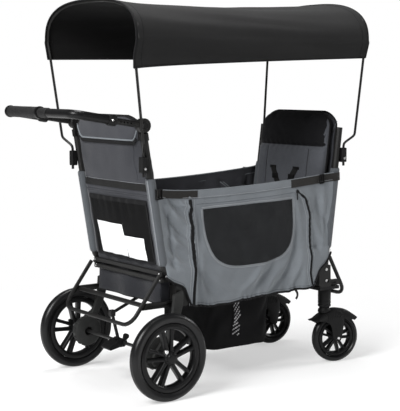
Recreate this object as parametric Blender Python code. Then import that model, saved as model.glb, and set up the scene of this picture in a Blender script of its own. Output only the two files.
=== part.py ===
# Double stroller wagon: two facing seats, hanging foot well, folding floor, canopy on two hoops.
# Metres, +Z up, +X to the right, +Y forward. Sizes are laid out from the rear axle (y = 0),
# then the whole model is moved so that its origin is under the middle of its box.

import bpy
import bmesh
import numpy as np
from math import pi, sin, cos, radians, atan2
from mathutils import Vector, Matrix

# Placing
AXLE_TO_ORIGIN = 0.3013
GAP = 0.0003
RUN_GAP = 0.0005

# Wheels
REAR_R = 0.145
REAR_X = 0.300
TYRE_W = 0.038
REAR_TYRE_DEPTH = 0.031
FRONT_R = 0.0916
FRONT_TYRE_W = 0.036
FRONT_TYRE_DEPTH = 0.020
RIM_DEPTH = 0.014
RIM_W = 0.030
SPOKES = 5
SPOKE_PAIR_GAP = 0.020
SPOKE_W = 0.008
SPOKE_T = 0.012
HUB_R = 0.026
HUB_W = 0.046
AXLE_R = 0.006
FRONT_SPOKE_PAIR_GAP = 0.015
FRONT_SPOKE_W = 0.006
FRONT_HUB_R = 0.017
FRONT_HUB_W = 0.0424

# Uprights
FRAME_X = 0.218
TUBE_R = 0.0125
UP_TOP_Z = 0.870
UP_KNEE_Z = 0.425
REAR_KNEE_Y = 0.036
REAR_LEAN = 0.165
FRONT_KNEE_Y = 0.752
FRONT_LEAN = 0.131
KNEE_R = 0.020
SLEEVE_LOW_Z = 0.432
SLEEVE_HIGH_Z = 0.723
SLEEVE_RX = 0.0150
SLEEVE_RY = 0.0185

# Folding floor
PIVOT_Z = 0.360
REAR_PIVOT_Y = 0.100
FRONT_PIVOT_Y = 0.735
CENTRE_Y = (REAR_PIVOT_Y + FRONT_PIVOT_Y) / 2
BLOCK_HALF_Y = 0.028
BLOCK_LOW_Z = 0.292
BLOCK_HIGH_Z = 0.372
BLOCK_T = 0.030
BASE_X = 0.190
BASE_R = 0.009
LUG_R = 0.015
LUG_T = 0.004
CENTRE_REACH = 0.021
TONGUE_L = 0.026
TONGUE_H = 0.014
PIN_R = 0.004
BOARD_X = 0.170
BOARD_T = 0.006
STRAP_T = 0.006
STRAP_W = 0.022
STRAP_IN = 0.020
STRAP_SINK = 0.0035
REAR_SEAT_EDGE = -0.025
FRONT_SEAT_EDGE = 0.023
SEAT_REACH = 0.145
CUSHION_T = 0.028
BOARD_LOW_Z = PIVOT_Z - BASE_R + STRAP_T - STRAP_SINK + GAP

# Lower frame
U_R = 0.007
REAR_U_Y = -0.095
REAR_U_Z = 0.245
FRONT_U_Y = 0.848
FRONT_U_Z = 0.253
U_BEND = 0.045
RAIL_H = 0.020
RAIL_T = 0.012
RAIL_Z = 0.297
CROSS_R = 0.008
REAR_CROSS_Y = -0.030
FRONT_CROSS_Y = 0.795
BAR_H = 0.016
BAR_T = 0.009
BAR_SHIFT = 0.002
TAB_X = 0.208
TAB_T = 0.006
TAB_REACH = 0.038
BAR_HIGH_Z = 0.405
BAR_LOW_Z = 0.383
LEG_X = 0.2413
LEG_T = 0.016
DRUM_R = 0.052
DRUM_W = 0.024
DRUM_RIBS = 10
STAY_R = 0.006
PEDAL_HALF = 0.028
PEDAL_SLEEVE_R = 0.0135

# Push handle
HANDLE_PIVOT_Z = 0.897
HANDLE_TILT = 9.3
HINGE_R = 0.024
CUP_T = 0.0145
CUP_IN_X = FRAME_X - CUP_T
CUP_OUT_X = CUP_IN_X + CUP_T + GAP
ARM_X = CUP_OUT_X + CUP_T / 2
ARM_R = 0.0105
ARM_LEN = 0.165
ARM_HOLES = 4
ARM_HOLE_PITCH = 0.013
ARM_HOLE_FIRST = 0.056
SLIDE_TRAVEL = 0.045
BORE_DEEP = ARM_LEN + SLIDE_TRAVEL + 0.004
BAR_R = 0.0145
BAR_START = 0.112
BAR_REACH = 0.254
BAR_BEND = 0.050
COLLAR_R = 0.0180
COLLAR_L = 0.036
GRIP_R = 0.0185
GRIP_HALF = 0.165
GRIP_RING_R = 0.0200
GRIP_RING_W = 0.010
BUTTON_R = 0.011
BUTTON_OUT = 0.005
BUTTON_PIT = 0.0105
BUTTON_TRAVEL = 0.0045
SNAP_R = 0.004
SNAP_TRAVEL = 0.0032

# Canopy
ROD_R = 0.0045
HOOP_X = 0.275
HOOP_BULGE_X = 0.293
HOOP_REAR_Y = -0.104
HOOP_FRONT_Y = 0.872
HOOP_LEG_Z = 1.118
HOOP_SHOULDER_Z = 1.175
REAR_PEAK_Z = 1.303
FRONT_PEAK_Z = 1.317
HOOP_POWER = 2.7
CLIP_Z = 0.770
CLIP_H = 0.052
CLIP_L = 0.030
PEG_Z = 0.731
JOG_LOW_Z = 0.812
JOG_HIGH_Z = 0.842
CLOTH_T = 0.003
CANOPY_SAG = 0.020
CANOPY_FOLD = 0.0025
CANOPY_HEM = 0.009
CANOPY_SECTIONS = 9
ARCH_POINTS = 15
EDGE_REAR_RIGHT_Z = 1.085
EDGE_REAR_LEFT_Z = 1.116
EDGE_FRONT_RIGHT_Z = 1.135
EDGE_FRONT_LEFT_Z = 1.125

# Seat backs and panels
BACK_HALF_X = 0.188
BACK_TOP_Z = 0.926
BACK_LOW_Z = 0.432
BACK_CORNER_R = 0.070
BACK_T = 0.046
BACK_TAPER_H = 0.065
BACK_TAPER = 0.30
BACK_CHANNEL = 0.006
BACK_CHANNEL_Z = 0.800
HARNESS_W = 0.025
HARNESS_T = 0.002
STRAP_OFF = 0.0013
HARNESS_PAD_W = 0.058
HARNESS_PAD_T = 0.012
HARNESS_PAD_H = 0.085
HARNESS_PAD_Z = 0.610
SHOULDER_X = 0.066
SHOULDER_Z = 0.715
BUCKLE_X = 0.016
BUCKLE_Z = 0.625
CROTCH_LOW_Z = 0.455
PANEL_T = 0.005
BACK_OFF = PANEL_T / 2 + GAP
PANEL_SWELL = 0.006
REAR_SKIRT_Y = 0.0417
FRONT_SKIRT_Y = 0.7463
REAR_SKIRT_Z = 0.300
FRONT_SKIRT_Z = 0.312
SKIRT_HALF_X = 0.178
POCKET_LOW_Z = 0.434
POCKET_HIGH_Z = 0.640
POCKET_HALF_X = 0.180
POCKET_BULGE = 0.012
POCKET_T = 0.003
LABEL_T = 0.0008
LABEL_SEAM_X = 0.015
LABEL_LEFT_W = 0.172
LABEL_LEFT_H = 0.110
LABEL_RIGHT_W = 0.113
LABEL_RIGHT_H = 0.076
LABEL_LOW_Z = 0.440

# Side walls and foot well
WALL_T = 0.005
WALL_BULGE = 0.006
WALL_CUT = 0.140
HEM_MID_Z = 0.284
RIM_MID_Z = 0.664
RIM_REAR_Z = 0.700
RIM_FRONT_Z = 0.712
WALL_COLUMNS = (0, 0.04, 0.08, 0.11, 0.14, 0.20, 0.28, 0.37, 0.46, 0.55, 0.64, 0.73, 0.82, 0.88, 0.92, 0.96,
                1.0)
WALL_ROWS = 8
WELL_HALF_X = 0.164
WELL_REAR_Y = REAR_PIVOT_Y + SEAT_REACH + 0.007
WELL_FRONT_Y = FRONT_PIVOT_Y - SEAT_REACH - 0.020
WELL_TOP_Z = BOARD_LOW_Z - 2 * GAP
WELL_FLARE_SHARE = 0.10
WELL_RIM_HALF_X = BASE_X - BASE_R - GAP - 0.0001
WELL_RIM_HALF_Y = (FRONT_PIVOT_Y - REAR_PIVOT_Y) / 2 - SEAT_REACH + STRAP_IN - STRAP_W / 2 - 2 * GAP
WELL_LOW_Z = 0.100
WELL_TAPER = 0.022

# Casters
STEM_X = 0.186
STEM_Y = 0.774
STEM_R = 0.0195
STEM_LOW_Z = 0.208
PLATE_H = 0.012
TRAIL = 0.044
CASTER_YAW_RIGHT = -14.0
CASTER_YAW_LEFT = -5.0
FORK_ARM_X = 0.025
FORK_ARM_T = 0.007
FENDER_R = 0.101
FENDER_T = 0.004
FENDER_HALF_W = 0.026

MATERIALS = {
    "tube": ((0.030, 0.029, 0.028), 0.42, 0.6),
    "black_plastic": ((0.018, 0.018, 0.019), 0.50, 0.0),
    "tyre": ((0.028, 0.028, 0.029), 0.75, 0.0),
    "silver": ((0.60, 0.60, 0.60), 0.30, 1.0),
    "grey_cloth": ((0.165, 0.175, 0.185), 0.90, 0.0),
    "dark_grey_cloth": ((0.070, 0.072, 0.080), 0.90, 0.0),
    "black_cloth": ((0.016, 0.016, 0.017), 0.92, 0.0),
    "black_webbing": ((0.028, 0.026, 0.024), 0.85, 0.0),
    "white_label": ((0.85, 0.86, 0.87), 0.60, 0.0),
    "leather": ((0.020, 0.020, 0.021), 0.60, 0.0),
}

for old in list(bpy.data.objects):
    bpy.data.objects.remove(old, do_unlink=True)

PARTS = bpy.data.collections.new("double_stroller")
CUTTERS = bpy.data.collections.new("cutters")
bpy.context.scene.collection.children.link(PARTS)
bpy.context.scene.collection.children.link(CUTTERS)


def material(key):
    mat = bpy.data.materials.get(key)
    if mat is None:
        colour, rough, metal = MATERIALS[key]
        mat = bpy.data.materials.new(key)
        mat.use_nodes = True
        shader = mat.node_tree.nodes["Principled BSDF"]
        shader.inputs["Base Color"].default_value = (*colour, 1.0)
        shader.inputs["Roughness"].default_value = rough
        shader.inputs["Metallic"].default_value = metal
        mat.diffuse_color = (*colour, 1.0)
    return mat


# Basic shapes, each returned as a bmesh in world space

def box(size, centre, bevel=0.0):
    bm = bmesh.new()
    bmesh.ops.create_cube(bm, size=1.0)
    bmesh.ops.scale(bm, vec=size, verts=bm.verts)
    if bevel:
        bmesh.ops.bevel(bm, geom=bm.edges, offset=bevel, segments=1, affect="EDGES")
    bmesh.ops.translate(bm, vec=centre, verts=bm.verts)
    return bm


def cylinder(radius, start, end, sides=16, end_radius=None):
    start, end = Vector(start), Vector(end)
    axis = end - start
    bm = bmesh.new()
    bmesh.ops.create_cone(bm, cap_ends=True, segments=sides, radius1=radius,
                          radius2=radius if end_radius is None else end_radius, depth=axis.length)
    turn = axis.to_track_quat("Z", "Y").to_matrix().to_4x4()
    bmesh.ops.transform(bm, matrix=Matrix.Translation((start + end) / 2) @ turn, verts=bm.verts)
    return bm


def from_points(curve_points, radius, resolution, closed=False):
    curve = bpy.data.curves.new("guide", "CURVE")
    curve.dimensions = "3D"
    curve.bevel_depth = radius
    curve.bevel_resolution = resolution
    curve.use_fill_caps = True
    line = curve.splines.new("POLY")
    line.points.add(len(curve_points) - 1)
    for knot, point in zip(line.points, curve_points):
        knot.co = (*point, 1.0)
    line.use_cyclic_u = closed
    return curve_mesh(curve)


def curve_mesh(curve):
    guide = bpy.data.objects.new("guide", curve)
    bpy.context.scene.collection.objects.link(guide)
    graph = bpy.context.evaluated_depsgraph_get()
    mesh = bpy.data.meshes.new_from_object(guide.evaluated_get(graph))
    bpy.data.objects.remove(guide, do_unlink=True)
    bpy.data.curves.remove(curve)
    bm = bmesh.new()
    bm.from_mesh(mesh)
    bpy.data.meshes.remove(mesh)
    bmesh.ops.remove_doubles(bm, verts=bm.verts, dist=0.00001)
    bmesh.ops.recalc_face_normals(bm, faces=bm.faces)
    return bm


def round_corners(points, radius, steps=4):
    points = [Vector(p) for p in points]
    path = [points[0]]
    for before, corner, after in zip(points, points[1:], points[2:]):
        a = (before - corner).normalized()
        b = (after - corner).normalized()
        turn = a.angle(b)
        reach = radius / np.tan(turn / 2)
        reach = min(reach, (before - corner).length * 0.48, (after - corner).length * 0.48)
        centre_gap = reach / cos(turn / 2)
        centre = corner + (a + b).normalized() * centre_gap
        first = corner + a * reach - centre
        last = corner + b * reach - centre
        size = first.length
        for step in range(steps + 1):
            path.append(centre + first.normalized().slerp(last.normalized(), step / steps) * size)
    path.append(points[-1])
    return path


def tube(points, radius, bend=0.0, resolution=3, steps=4):
    path = round_corners(points, bend, steps) if bend else points
    return from_points(path, radius, resolution)


# A flat outline in the YZ plane, with holes, from x - half to x + half

def slab(outline, x, thickness, holes=()):
    curve = bpy.data.curves.new("outline", "CURVE")
    curve.dimensions = "2D"
    curve.fill_mode = "BOTH"
    curve.extrude = thickness / 2
    for ring in (outline, *holes):
        line = curve.splines.new("POLY")
        line.points.add(len(ring) - 1)
        for knot, (y, z) in zip(line.points, ring):
            knot.co = (y, z, 0.0, 1.0)
        line.use_cyclic_u = True
    bm = curve_mesh(curve)
    turn = Matrix(((0, 0, 1, x), (1, 0, 0, 0), (0, 1, 0, 0), (0, 0, 0, 1)))
    bmesh.ops.transform(bm, matrix=turn, verts=bm.verts)
    bmesh.ops.recalc_face_normals(bm, faces=bm.faces)
    return bm


def ring_points(y, z, radius, count=16, start=0.0, sweep=2 * pi):
    closed = abs(sweep - 2 * pi) < 1e-6
    last = count if closed else count - 1
    return [(y + radius * cos(start + sweep * i / last), z + radius * sin(start + sweep * i / last))
            for i in range(count)]


# A profile of (radius, x) pairs turned about the X direction through (y, z)

def turned(profile, y, z, steps, closed=False):
    bm = bmesh.new()
    knots = [bm.verts.new((r, 0.0, -x)) for r, x in profile]
    pairs = list(zip(knots, knots[1:]))
    if closed:
        pairs.append((knots[-1], knots[0]))
    for a, b in pairs:
        bm.edges.new((a, b))
    bmesh.ops.spin(bm, geom=bm.verts[:] + bm.edges[:], axis=(0, 0, 1), cent=(0, 0, 0),
                   angle=2 * pi, steps=steps, use_merge=True)
    bmesh.ops.remove_doubles(bm, verts=bm.verts, dist=0.00001)
    turn = Matrix(((0, 0, -1, 0), (1, 0, 0, y), (0, 1, 0, z), (0, 0, 0, 1)))
    bmesh.ops.transform(bm, matrix=turn, verts=bm.verts)
    bmesh.ops.recalc_face_normals(bm, faces=bm.faces)
    return bm


# A closed sheet: a grid of points with a thickness along each point's given direction

def sheet(rows, thickness_dirs):
    bm = bmesh.new()
    layers = []
    for sign in (-0.5, 0.5):
        layers.append([[bm.verts.new(Vector(p) + Vector(t) * sign) for p, t in zip(row, dirs)]
                       for row, dirs in zip(rows, thickness_dirs)])
    back, front = layers
    high, wide = len(rows), len(rows[0])
    for i in range(high - 1):
        for j in range(wide - 1):
            bm.faces.new((front[i][j], front[i][j + 1], front[i + 1][j + 1], front[i + 1][j]))
            bm.faces.new((back[i][j], back[i + 1][j], back[i + 1][j + 1], back[i][j + 1]))
    edge = [(0, j) for j in range(wide)] + [(i, wide - 1) for i in range(1, high)]
    edge += [(high - 1, j) for j in range(wide - 2, -1, -1)] + [(i, 0) for i in range(high - 2, 0, -1)]
    for (i, j), (k, m) in zip(edge, edge[1:] + edge[:1]):
        bm.faces.new((front[i][j], back[i][j], back[k][m], front[k][m]))
    bmesh.ops.recalc_face_normals(bm, faces=bm.faces)
    return bm


def mirrored(bm):
    copy = bm.copy()
    bmesh.ops.scale(copy, vec=(-1, 1, 1), verts=copy.verts)
    bmesh.ops.reverse_faces(copy, faces=copy.faces)
    return copy


def moved(bm, matrix):
    bmesh.ops.transform(bm, matrix=matrix, verts=bm.verts)
    return bm


def add(name, shapes, key, origin=(0, 0, 0), smooth=35):
    shapes = shapes if isinstance(shapes, list) else [shapes]
    mesh = bpy.data.meshes.new(name)
    whole = bmesh.new()
    for shape in shapes:
        part = bpy.data.meshes.new("part")
        shape.to_mesh(part)
        shape.free()
        whole.from_mesh(part)
        bpy.data.meshes.remove(part)
    bmesh.ops.translate(whole, vec=-Vector(origin), verts=whole.verts)
    whole.to_mesh(mesh)
    whole.free()
    obj = bpy.data.objects.new(name, mesh)
    obj.location = origin
    obj.data.materials.append(material(key))
    mesh.shade_smooth()
    mesh.set_sharp_from_angle(angle=radians(smooth))
    PARTS.objects.link(obj)
    return obj


def tool(target, shape, operation, name):
    cutter = add(name, shape, "black_plastic")
    PARTS.objects.unlink(cutter)
    CUTTERS.objects.link(cutter)
    cutter.hide_render = True
    cutter.display_type = "WIRE"
    change = target.modifiers.new(name, "BOOLEAN")
    change.operation = operation
    change.solver = "EXACT"
    change.object = cutter


def join(target, shapes):
    for number, shape in enumerate(shapes):
        tool(target, shape, "UNION", f"{target.name}_join_{number}")


def cut(target, shapes):
    for number, shape in enumerate(shapes):
        tool(target, shape, "DIFFERENCE", f"{target.name}_cut_{number}")


# Lines of the leaning uprights

def rear_y(z):
    return REAR_KNEE_Y - (z - UP_KNEE_Z) * REAR_LEAN


def front_y(z):
    return FRONT_KNEE_Y + (z - UP_KNEE_Z) * FRONT_LEAN


class End:
    """One end of the wagon: its upright line, hinge block and the way it faces."""

    def __init__(self, name, line, pivot_y, inward, u_y, u_z, hoop_y, peak_z, skirt_y, skirt_z, rail_y):
        self.name = name
        self.line = line
        self.pivot_y = pivot_y
        self.inward = inward
        self.u_y = u_y
        self.u_z = u_z
        self.hoop_y = hoop_y
        self.peak_z = peak_z
        self.skirt_y = skirt_y
        self.skirt_z = skirt_z
        self.rail_y = rail_y


REAR = End("rear", rear_y, REAR_PIVOT_Y, 1, REAR_U_Y, REAR_U_Z, HOOP_REAR_Y, REAR_PEAK_Z, REAR_SKIRT_Y,
           REAR_SKIRT_Z, REAR_CROSS_Y)
FRONT = End("front", front_y, FRONT_PIVOT_Y, -1, FRONT_U_Y, FRONT_U_Z, HOOP_FRONT_Y, FRONT_PEAK_Z,
            FRONT_SKIRT_Y, FRONT_SKIRT_Z, FRONT_CROSS_Y)


def both(make):
    right = make()
    return [right, mirrored(right)]


def as_made(bm):
    return bm


SIDES = (("right", 1, as_made), ("left", -1, mirrored))


def block_top(end):
    """The slanted seat on the hinge block where the upright ends: (y, z) and the tube's direction."""
    seat = Vector((end.pivot_y - end.inward * 0.012, BLOCK_HIGH_Z))
    knee = Vector((end.line(UP_KNEE_Z), UP_KNEE_Z))
    return seat, (seat - knee).normalized()


def upright(end):
    seat, run = block_top(end)
    foot = seat - run * GAP
    path = [(FRAME_X, end.line(UP_TOP_Z), UP_TOP_Z),
            (FRAME_X, end.line(UP_KNEE_Z), UP_KNEE_Z),
            (FRAME_X, foot.x, foot.y)]
    return tube(path, TUBE_R, KNEE_R, steps=3)


def uprights(end):
    obj = add(f"{end.name}_uprights", both(lambda: upright(end)), "tube")
    bar_y = end.line(UP_KNEE_Z) - end.inward * BAR_SHIFT
    bars = [box((2 * FRAME_X, BAR_T, BAR_H), (0, bar_y, z), 0.002) for z in (BAR_HIGH_Z, BAR_LOW_Z)]
    middle = (BAR_HIGH_Z + BAR_LOW_Z) / 2
    tab_y = bar_y + end.inward * (TAB_REACH - BAR_T) / 2
    tab = lambda: box((TAB_T, TAB_REACH, BAR_HIGH_Z - BAR_LOW_Z + BAR_H), (TAB_X, tab_y, middle))
    if end is REAR:
        bars += both(tab)
    join(obj, bars)


# Hinge block: the upright seats on its slanted shoulder and the floor frame turns on its pin

def hinge_block(end):
    seat, run = block_top(end)
    across = Vector((-run.y, run.x)) * end.inward
    half = TUBE_R + 0.002
    high, low = seat + across * half, seat - across * half
    inner = end.pivot_y + end.inward * BLOCK_HALF_Y
    outer = end.pivot_y - end.inward * BLOCK_HALF_Y
    chamfer = 0.008
    outline = [(outer, BLOCK_LOW_Z), (inner - end.inward * chamfer, BLOCK_LOW_Z),
               (inner, BLOCK_LOW_Z + chamfer), (inner, BLOCK_HIGH_Z - 0.012),
               (high.x, high.y), (low.x, low.y)]
    window = ring_points(end.pivot_y - end.inward * 0.013, BLOCK_LOW_Z + 0.020, 0.006, 10)
    body = slab(outline, FRAME_X, BLOCK_T, [window])
    return body


def hinge_blocks(end):
    name = f"{end.name}_hinge_blocks"
    inner_face = FRAME_X - BLOCK_T / 2
    pin_end = BASE_X - LUG_T - 0.004
    obj = add(name, both(lambda: hinge_block(end)), "tube")
    pin = lambda: cylinder(PIN_R, (inner_face + 0.004, end.pivot_y, PIVOT_Z),
                           (pin_end, end.pivot_y, PIVOT_Z), 12)
    low_y = end.pivot_y - end.inward * 0.004
    low_z = BLOCK_LOW_Z + CROSS_R
    cross = cylinder(CROSS_R, (-FRAME_X, low_y, low_z), (FRAME_X, low_y, low_z), 12)
    join(obj, both(pin) + [cross])


# Bent U tube below each end, its arms set against the uprights' knees

def u_tube(end):
    top_z = UP_KNEE_Z - 0.026
    arm_y = end.line(UP_KNEE_Z) - end.inward * 0.0165
    path = [(FRAME_X, arm_y, top_z), (FRAME_X, end.u_y, end.u_z),
            (-FRAME_X, end.u_y, end.u_z), (-FRAME_X, arm_y, top_z)]
    add(f"{end.name}_u_tube", tube(path, U_R, U_BEND, 2, 5), "tube")


def side_rails(end):
    arm_y, top_z = end.line(UP_KNEE_Z) - end.inward * 0.0165, UP_KNEE_Z - 0.026
    slope = (end.u_y - arm_y) / (end.u_z - top_z)
    reach = U_R * np.sqrt(1 + slope * slope) + GAP
    block_face = end.pivot_y - end.inward * (BLOCK_HALF_Y + GAP)

    def arm_at(z):
        return arm_y + (z - top_z) * slope + end.inward * reach

    low, high = RAIL_Z - RAIL_H / 2 + 0.006, RAIL_Z + RAIL_H / 2 + 0.006
    outline = [(block_face, low), (block_face, high), (arm_at(high), high), (arm_at(low), low)]
    slot_a, slot_b = sorted((block_face - end.inward * 0.008, arm_at(high) + end.inward * 0.012))
    rail = lambda: slab(outline, FRAME_X, RAIL_T)
    obj = add(f"{end.name}_side_rails", both(rail), "tube")
    z = (low + high) / 2
    join(obj, [cylinder(CROSS_R, (-FRAME_X, end.rail_y, z), (FRAME_X, end.rail_y, z), 12)])
    groove = lambda: box((0.006, slot_b - slot_a, 0.006),
                         (FRAME_X + RAIL_T / 2, (slot_a + slot_b) / 2, (low + high) / 2))
    cut(obj, both(groove))


# Rear wheels, their legs with ribbed drums, and the axle

def spoke(radius_in, radius_out, width, depth, x, offset, angle, y, z):
    bar = box((depth, radius_out - radius_in, width), (0, (radius_in + radius_out) / 2, offset))
    bmesh.ops.rotate(bar, cent=(0, 0, 0), matrix=Matrix.Rotation(angle, 3, "X"), verts=bar.verts)
    bmesh.ops.translate(bar, vec=(x, y, z), verts=bar.verts)
    return bar


def wheel(name, radius, tyre_w, tyre_depth, rim_w, hub_r, hub_w, pair_gap, spoke_w, place, steps, first,
          through=False):
    x, y, z = place
    seat_r = radius - tyre_depth
    h = tyre_w / 2
    tyre = [(seat_r + GAP, -h * 0.72), (radius - 0.012, -h), (radius - 0.003, -h * 0.62),
            (radius, -h * 0.20), (radius, h * 0.20), (radius - 0.003, h * 0.62),
            (radius - 0.012, h), (seat_r + GAP, h * 0.72)]
    shape = turned([(r, x + dx) for r, dx in tyre], y, z, steps, closed=True)
    add(f"{name}_tyre", shape, "tyre", place)
    inner_r = seat_r - RIM_DEPTH
    rim = [(seat_r, -rim_w / 2), (seat_r, rim_w / 2), (seat_r - 0.004, rim_w / 2),
           (inner_r, 0), (seat_r - 0.004, -rim_w / 2)]
    obj = add(f"{name}_rim", turned([(r, x + dx) for r, dx in rim], y, z, steps, closed=True),
              "black_plastic", place)
    outward = 1 if x > 0 else -1
    face = outward * hub_w * 0.42
    back = -outward * hub_w * 0.50
    bore = AXLE_R + RUN_GAP
    hub = [(0, face), (hub_r * 0.58, face), (hub_r, face * 0.62), (hub_r, back * 0.70),
           (hub_r * 0.72, back), (bore, back), (bore, face * 0.45), (0, face * 0.45)]
    if through:
        half = hub_w / 2
        hub = [(bore, half), (hub_r * 0.72, half), (hub_r, half * 0.70), (hub_r, -half * 0.70),
               (hub_r * 0.72, -half), (bore, -half)]
    shapes = [turned([(r, x + dx) for r, dx in hub], y, z, 10, closed=through)]
    for pair in range(SPOKES):
        angle = first + 2 * pi * pair / SPOKES
        for side in (-1, 1):
            shapes.append(spoke(hub_r - 0.006, inner_r + 0.003, spoke_w, SPOKE_T, x,
                                side * pair_gap / 2, angle, y, z))
    join(obj, shapes)


def rear_wheels():
    for side, word in ((1, "right"), (-1, "left")):
        wheel(f"rear_wheel_{word}", REAR_R, TYRE_W, REAR_TYRE_DEPTH, RIM_W, HUB_R, HUB_W,
              SPOKE_PAIR_GAP, SPOKE_W, (side * REAR_X, 0, REAR_R), 28, radians(92))


def leg_outline():
    """From the hinge block's underside down to the drum, with a waist."""
    top = BLOCK_LOW_Z + 0.040
    wide = BLOCK_HALF_Y
    hub = REAR_R
    return [(REAR_PIVOT_Y - wide, top), (REAR_PIVOT_Y + wide, top),
            (REAR_PIVOT_Y + wide - 0.004, BLOCK_LOW_Z - 0.012), (0.062, hub + 0.052),
            (0.034, hub + 0.020), (0.030, hub - 0.010), (0.0, hub - 0.036), (-0.030, hub - 0.010),
            (-0.034, hub + 0.022), (0.020, hub + 0.075), (REAR_PIVOT_Y - wide, BLOCK_LOW_Z - 0.010)]


def rear_leg(word, turn):
    bore = ring_points(0, REAR_R, AXLE_R + GAP, 12)
    window = [(0.038, REAR_R + 0.050), (0.062, REAR_R + 0.092), (0.082, REAR_R + 0.120),
              (0.090, REAR_R + 0.110), (0.066, REAR_R + 0.072), (0.050, REAR_R + 0.050)]
    body = slab(leg_outline(), LEG_X, LEG_T, [bore, window])
    obj = add(f"rear_leg_{word}", turn(body), "black_plastic")
    inner = LEG_X - LEG_T / 2
    drum = [(DRUM_R, inner + 0.004), (DRUM_R, inner - DRUM_W + 0.004), (DRUM_R - 0.006, inner - DRUM_W),
            (AXLE_R + 0.010, inner - DRUM_W), (AXLE_R + 0.010, inner + 0.004)]
    shapes = [turn(turned(drum, 0, REAR_R, 18, closed=True))]
    for rib in range(DRUM_RIBS):
        angle = 2 * pi * rib / DRUM_RIBS
        bar = box((DRUM_W - 0.006, 0.006, 0.004), (inner - DRUM_W / 2 + 0.003, DRUM_R + 0.001, 0))
        bmesh.ops.rotate(bar, cent=(0, 0, 0), matrix=Matrix.Rotation(angle, 3, "X"), verts=bar.verts)
        bmesh.ops.translate(bar, vec=(0, 0, REAR_R), verts=bar.verts)
        shapes.append(turn(bar))
    join(obj, shapes)


def axle_and_stay():
    reach = REAR_X + HUB_W * 0.42 * 0.45 - RUN_GAP
    add("rear_axle", cylinder(AXLE_R, (-reach, 0, REAR_R), (reach, 0, REAR_R), 14), "silver")
    top = (0, REAR_PIVOT_Y - 0.004 - CROSS_R + 0.0002, BLOCK_LOW_Z + CROSS_R - 0.003)
    knee = (0, -0.030, 0.248)
    low = (0, -0.006, REAR_R + AXLE_R + 0.0020)
    stay = add("axle_stay", tube([top, knee, low], STAY_R, 0.010, 2, 3), "tube")
    join(stay, [box((0.018, 0.020, 0.022), knee, 0.002)])


def brake_pedal():
    bore = AXLE_R + RUN_GAP
    sleeve_r = PEDAL_SLEEVE_R
    outer = ring_points(0, REAR_R, sleeve_r, 12, radians(-30), radians(200))
    paddle = [(-0.020, REAR_R + 0.008), (-0.052, REAR_R - 0.006), (-0.060, REAR_R - 0.014),
              (-0.054, REAR_R - 0.021), (-0.020, REAR_R - 0.014), (0.002, REAR_R - sleeve_r)]
    body = slab(outer + paddle, 0, 2 * PEDAL_HALF, [ring_points(0, REAR_R, bore, 12)])
    pedal = add("brake_pedal", body, "black_plastic", (0, 0, REAR_R))
    lobe = slab(ring_points(0.012, REAR_R + 0.021, 0.009, 10), 0.022, 0.014)
    web = box((0.012, 0.012, 0.010), (0.022, 0.008, REAR_R + 0.014))
    join(pedal, [lobe, web])
    notch = box((0.016, 0.041, 0.024), (0, 0.0027, REAR_R + 0.0145))
    cut(pedal, [notch])


# Casters: housing under the front block, fork with fender and one wheel

def caster_housing(word, turn):
    foot, head = (STEM_X, STEM_Y, STEM_LOW_Z), (STEM_X, STEM_Y, BLOCK_LOW_Z - 0.004)
    obj = add(f"caster_housing_{word}", turn(cylinder(STEM_R, foot, head, 12)), "black_plastic")
    top_z = BLOCK_LOW_Z - GAP
    low_z = top_z - PLATE_H
    first, last = FRONT_PIVOT_Y - 0.024, STEM_Y + 0.030
    width = FRAME_X + BLOCK_T / 2 - (STEM_X - STEM_R)
    plate = slab([(first, low_z), (last, low_z), (last, top_z), (first, top_z)],
                 FRAME_X + BLOCK_T / 2 - width / 2, width)
    cap = cylinder(STEM_R + 0.0015, (STEM_X, STEM_Y, 0.222), (STEM_X, STEM_Y, 0.232), 12)
    join(obj, [turn(plate), turn(cap)])
    socket = cylinder(0.0062, (STEM_X, STEM_Y, STEM_LOW_Z - 0.002), (STEM_X, STEM_Y, 0.262), 10)
    cut(obj, [turn(socket)])


def caster_frame(word):
    side = 1 if word == "right" else -1
    yaw = radians(CASTER_YAW_RIGHT if side > 0 else CASTER_YAW_LEFT)
    return Matrix.Translation((side * STEM_X, STEM_Y, 0)) @ Matrix.Rotation(yaw, 4, "Z")


def arc(centre_y, centre_z, radius, start, end, count):
    return [(centre_y + radius * cos(radians(start + (end - start) * i / (count - 1))),
             centre_z + radius * sin(radians(start + (end - start) * i / (count - 1))))
            for i in range(count)]


def caster(word):
    place = caster_frame(word)
    side = 1 if word == "right" else -1
    z = FRONT_R
    shell = arc(TRAIL, z, FENDER_R + FENDER_T, 158, 28, 9) + arc(TRAIL, z, FENDER_R, 28, 158, 9)
    fender = moved(slab(shell, 0, 2 * FENDER_HALF_W), place)
    fork = add(f"caster_fork_{word}", fender, "black_plastic", place.translation)
    arm = arc(TRAIL, z, 0.017, 200, 340, 7)
    arm += [(TRAIL + 0.028, z + 0.050), (TRAIL + 0.030, z + FENDER_R - 0.002),
            (TRAIL - 0.062, z + FENDER_R - 0.022), (TRAIL - 0.046, z + 0.052)]
    crown_low = 2 * FRONT_R + 0.002
    shapes = []
    for x in (-FORK_ARM_X, FORK_ARM_X):
        shapes.append(moved(slab(arm, x, FORK_ARM_T), place))
    shapes.append(moved(cylinder(0.024, (0, 0, crown_low), (0, 0, STEM_LOW_Z - 0.001), 12, 0.019),
                        place))
    shapes.append(moved(cylinder(0.0055, (0, 0, STEM_LOW_Z - 0.006), (0, 0, 0.258), 12), place))
    axle_half = FORK_ARM_X + FORK_ARM_T / 2 + 0.003
    shapes.append(moved(cylinder(AXLE_R - 0.001, (-axle_half, TRAIL, z), (axle_half, TRAIL, z), 12), place))
    join(fork, shapes)
    slit = lambda shift: moved(box((0.030, 0.0035, 0.030), (0, TRAIL - 0.012 + shift, z + FENDER_R + 0.002)),
                               place)
    cut(fork, [slit(step * 0.010) for step in range(3)])
    return side


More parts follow.
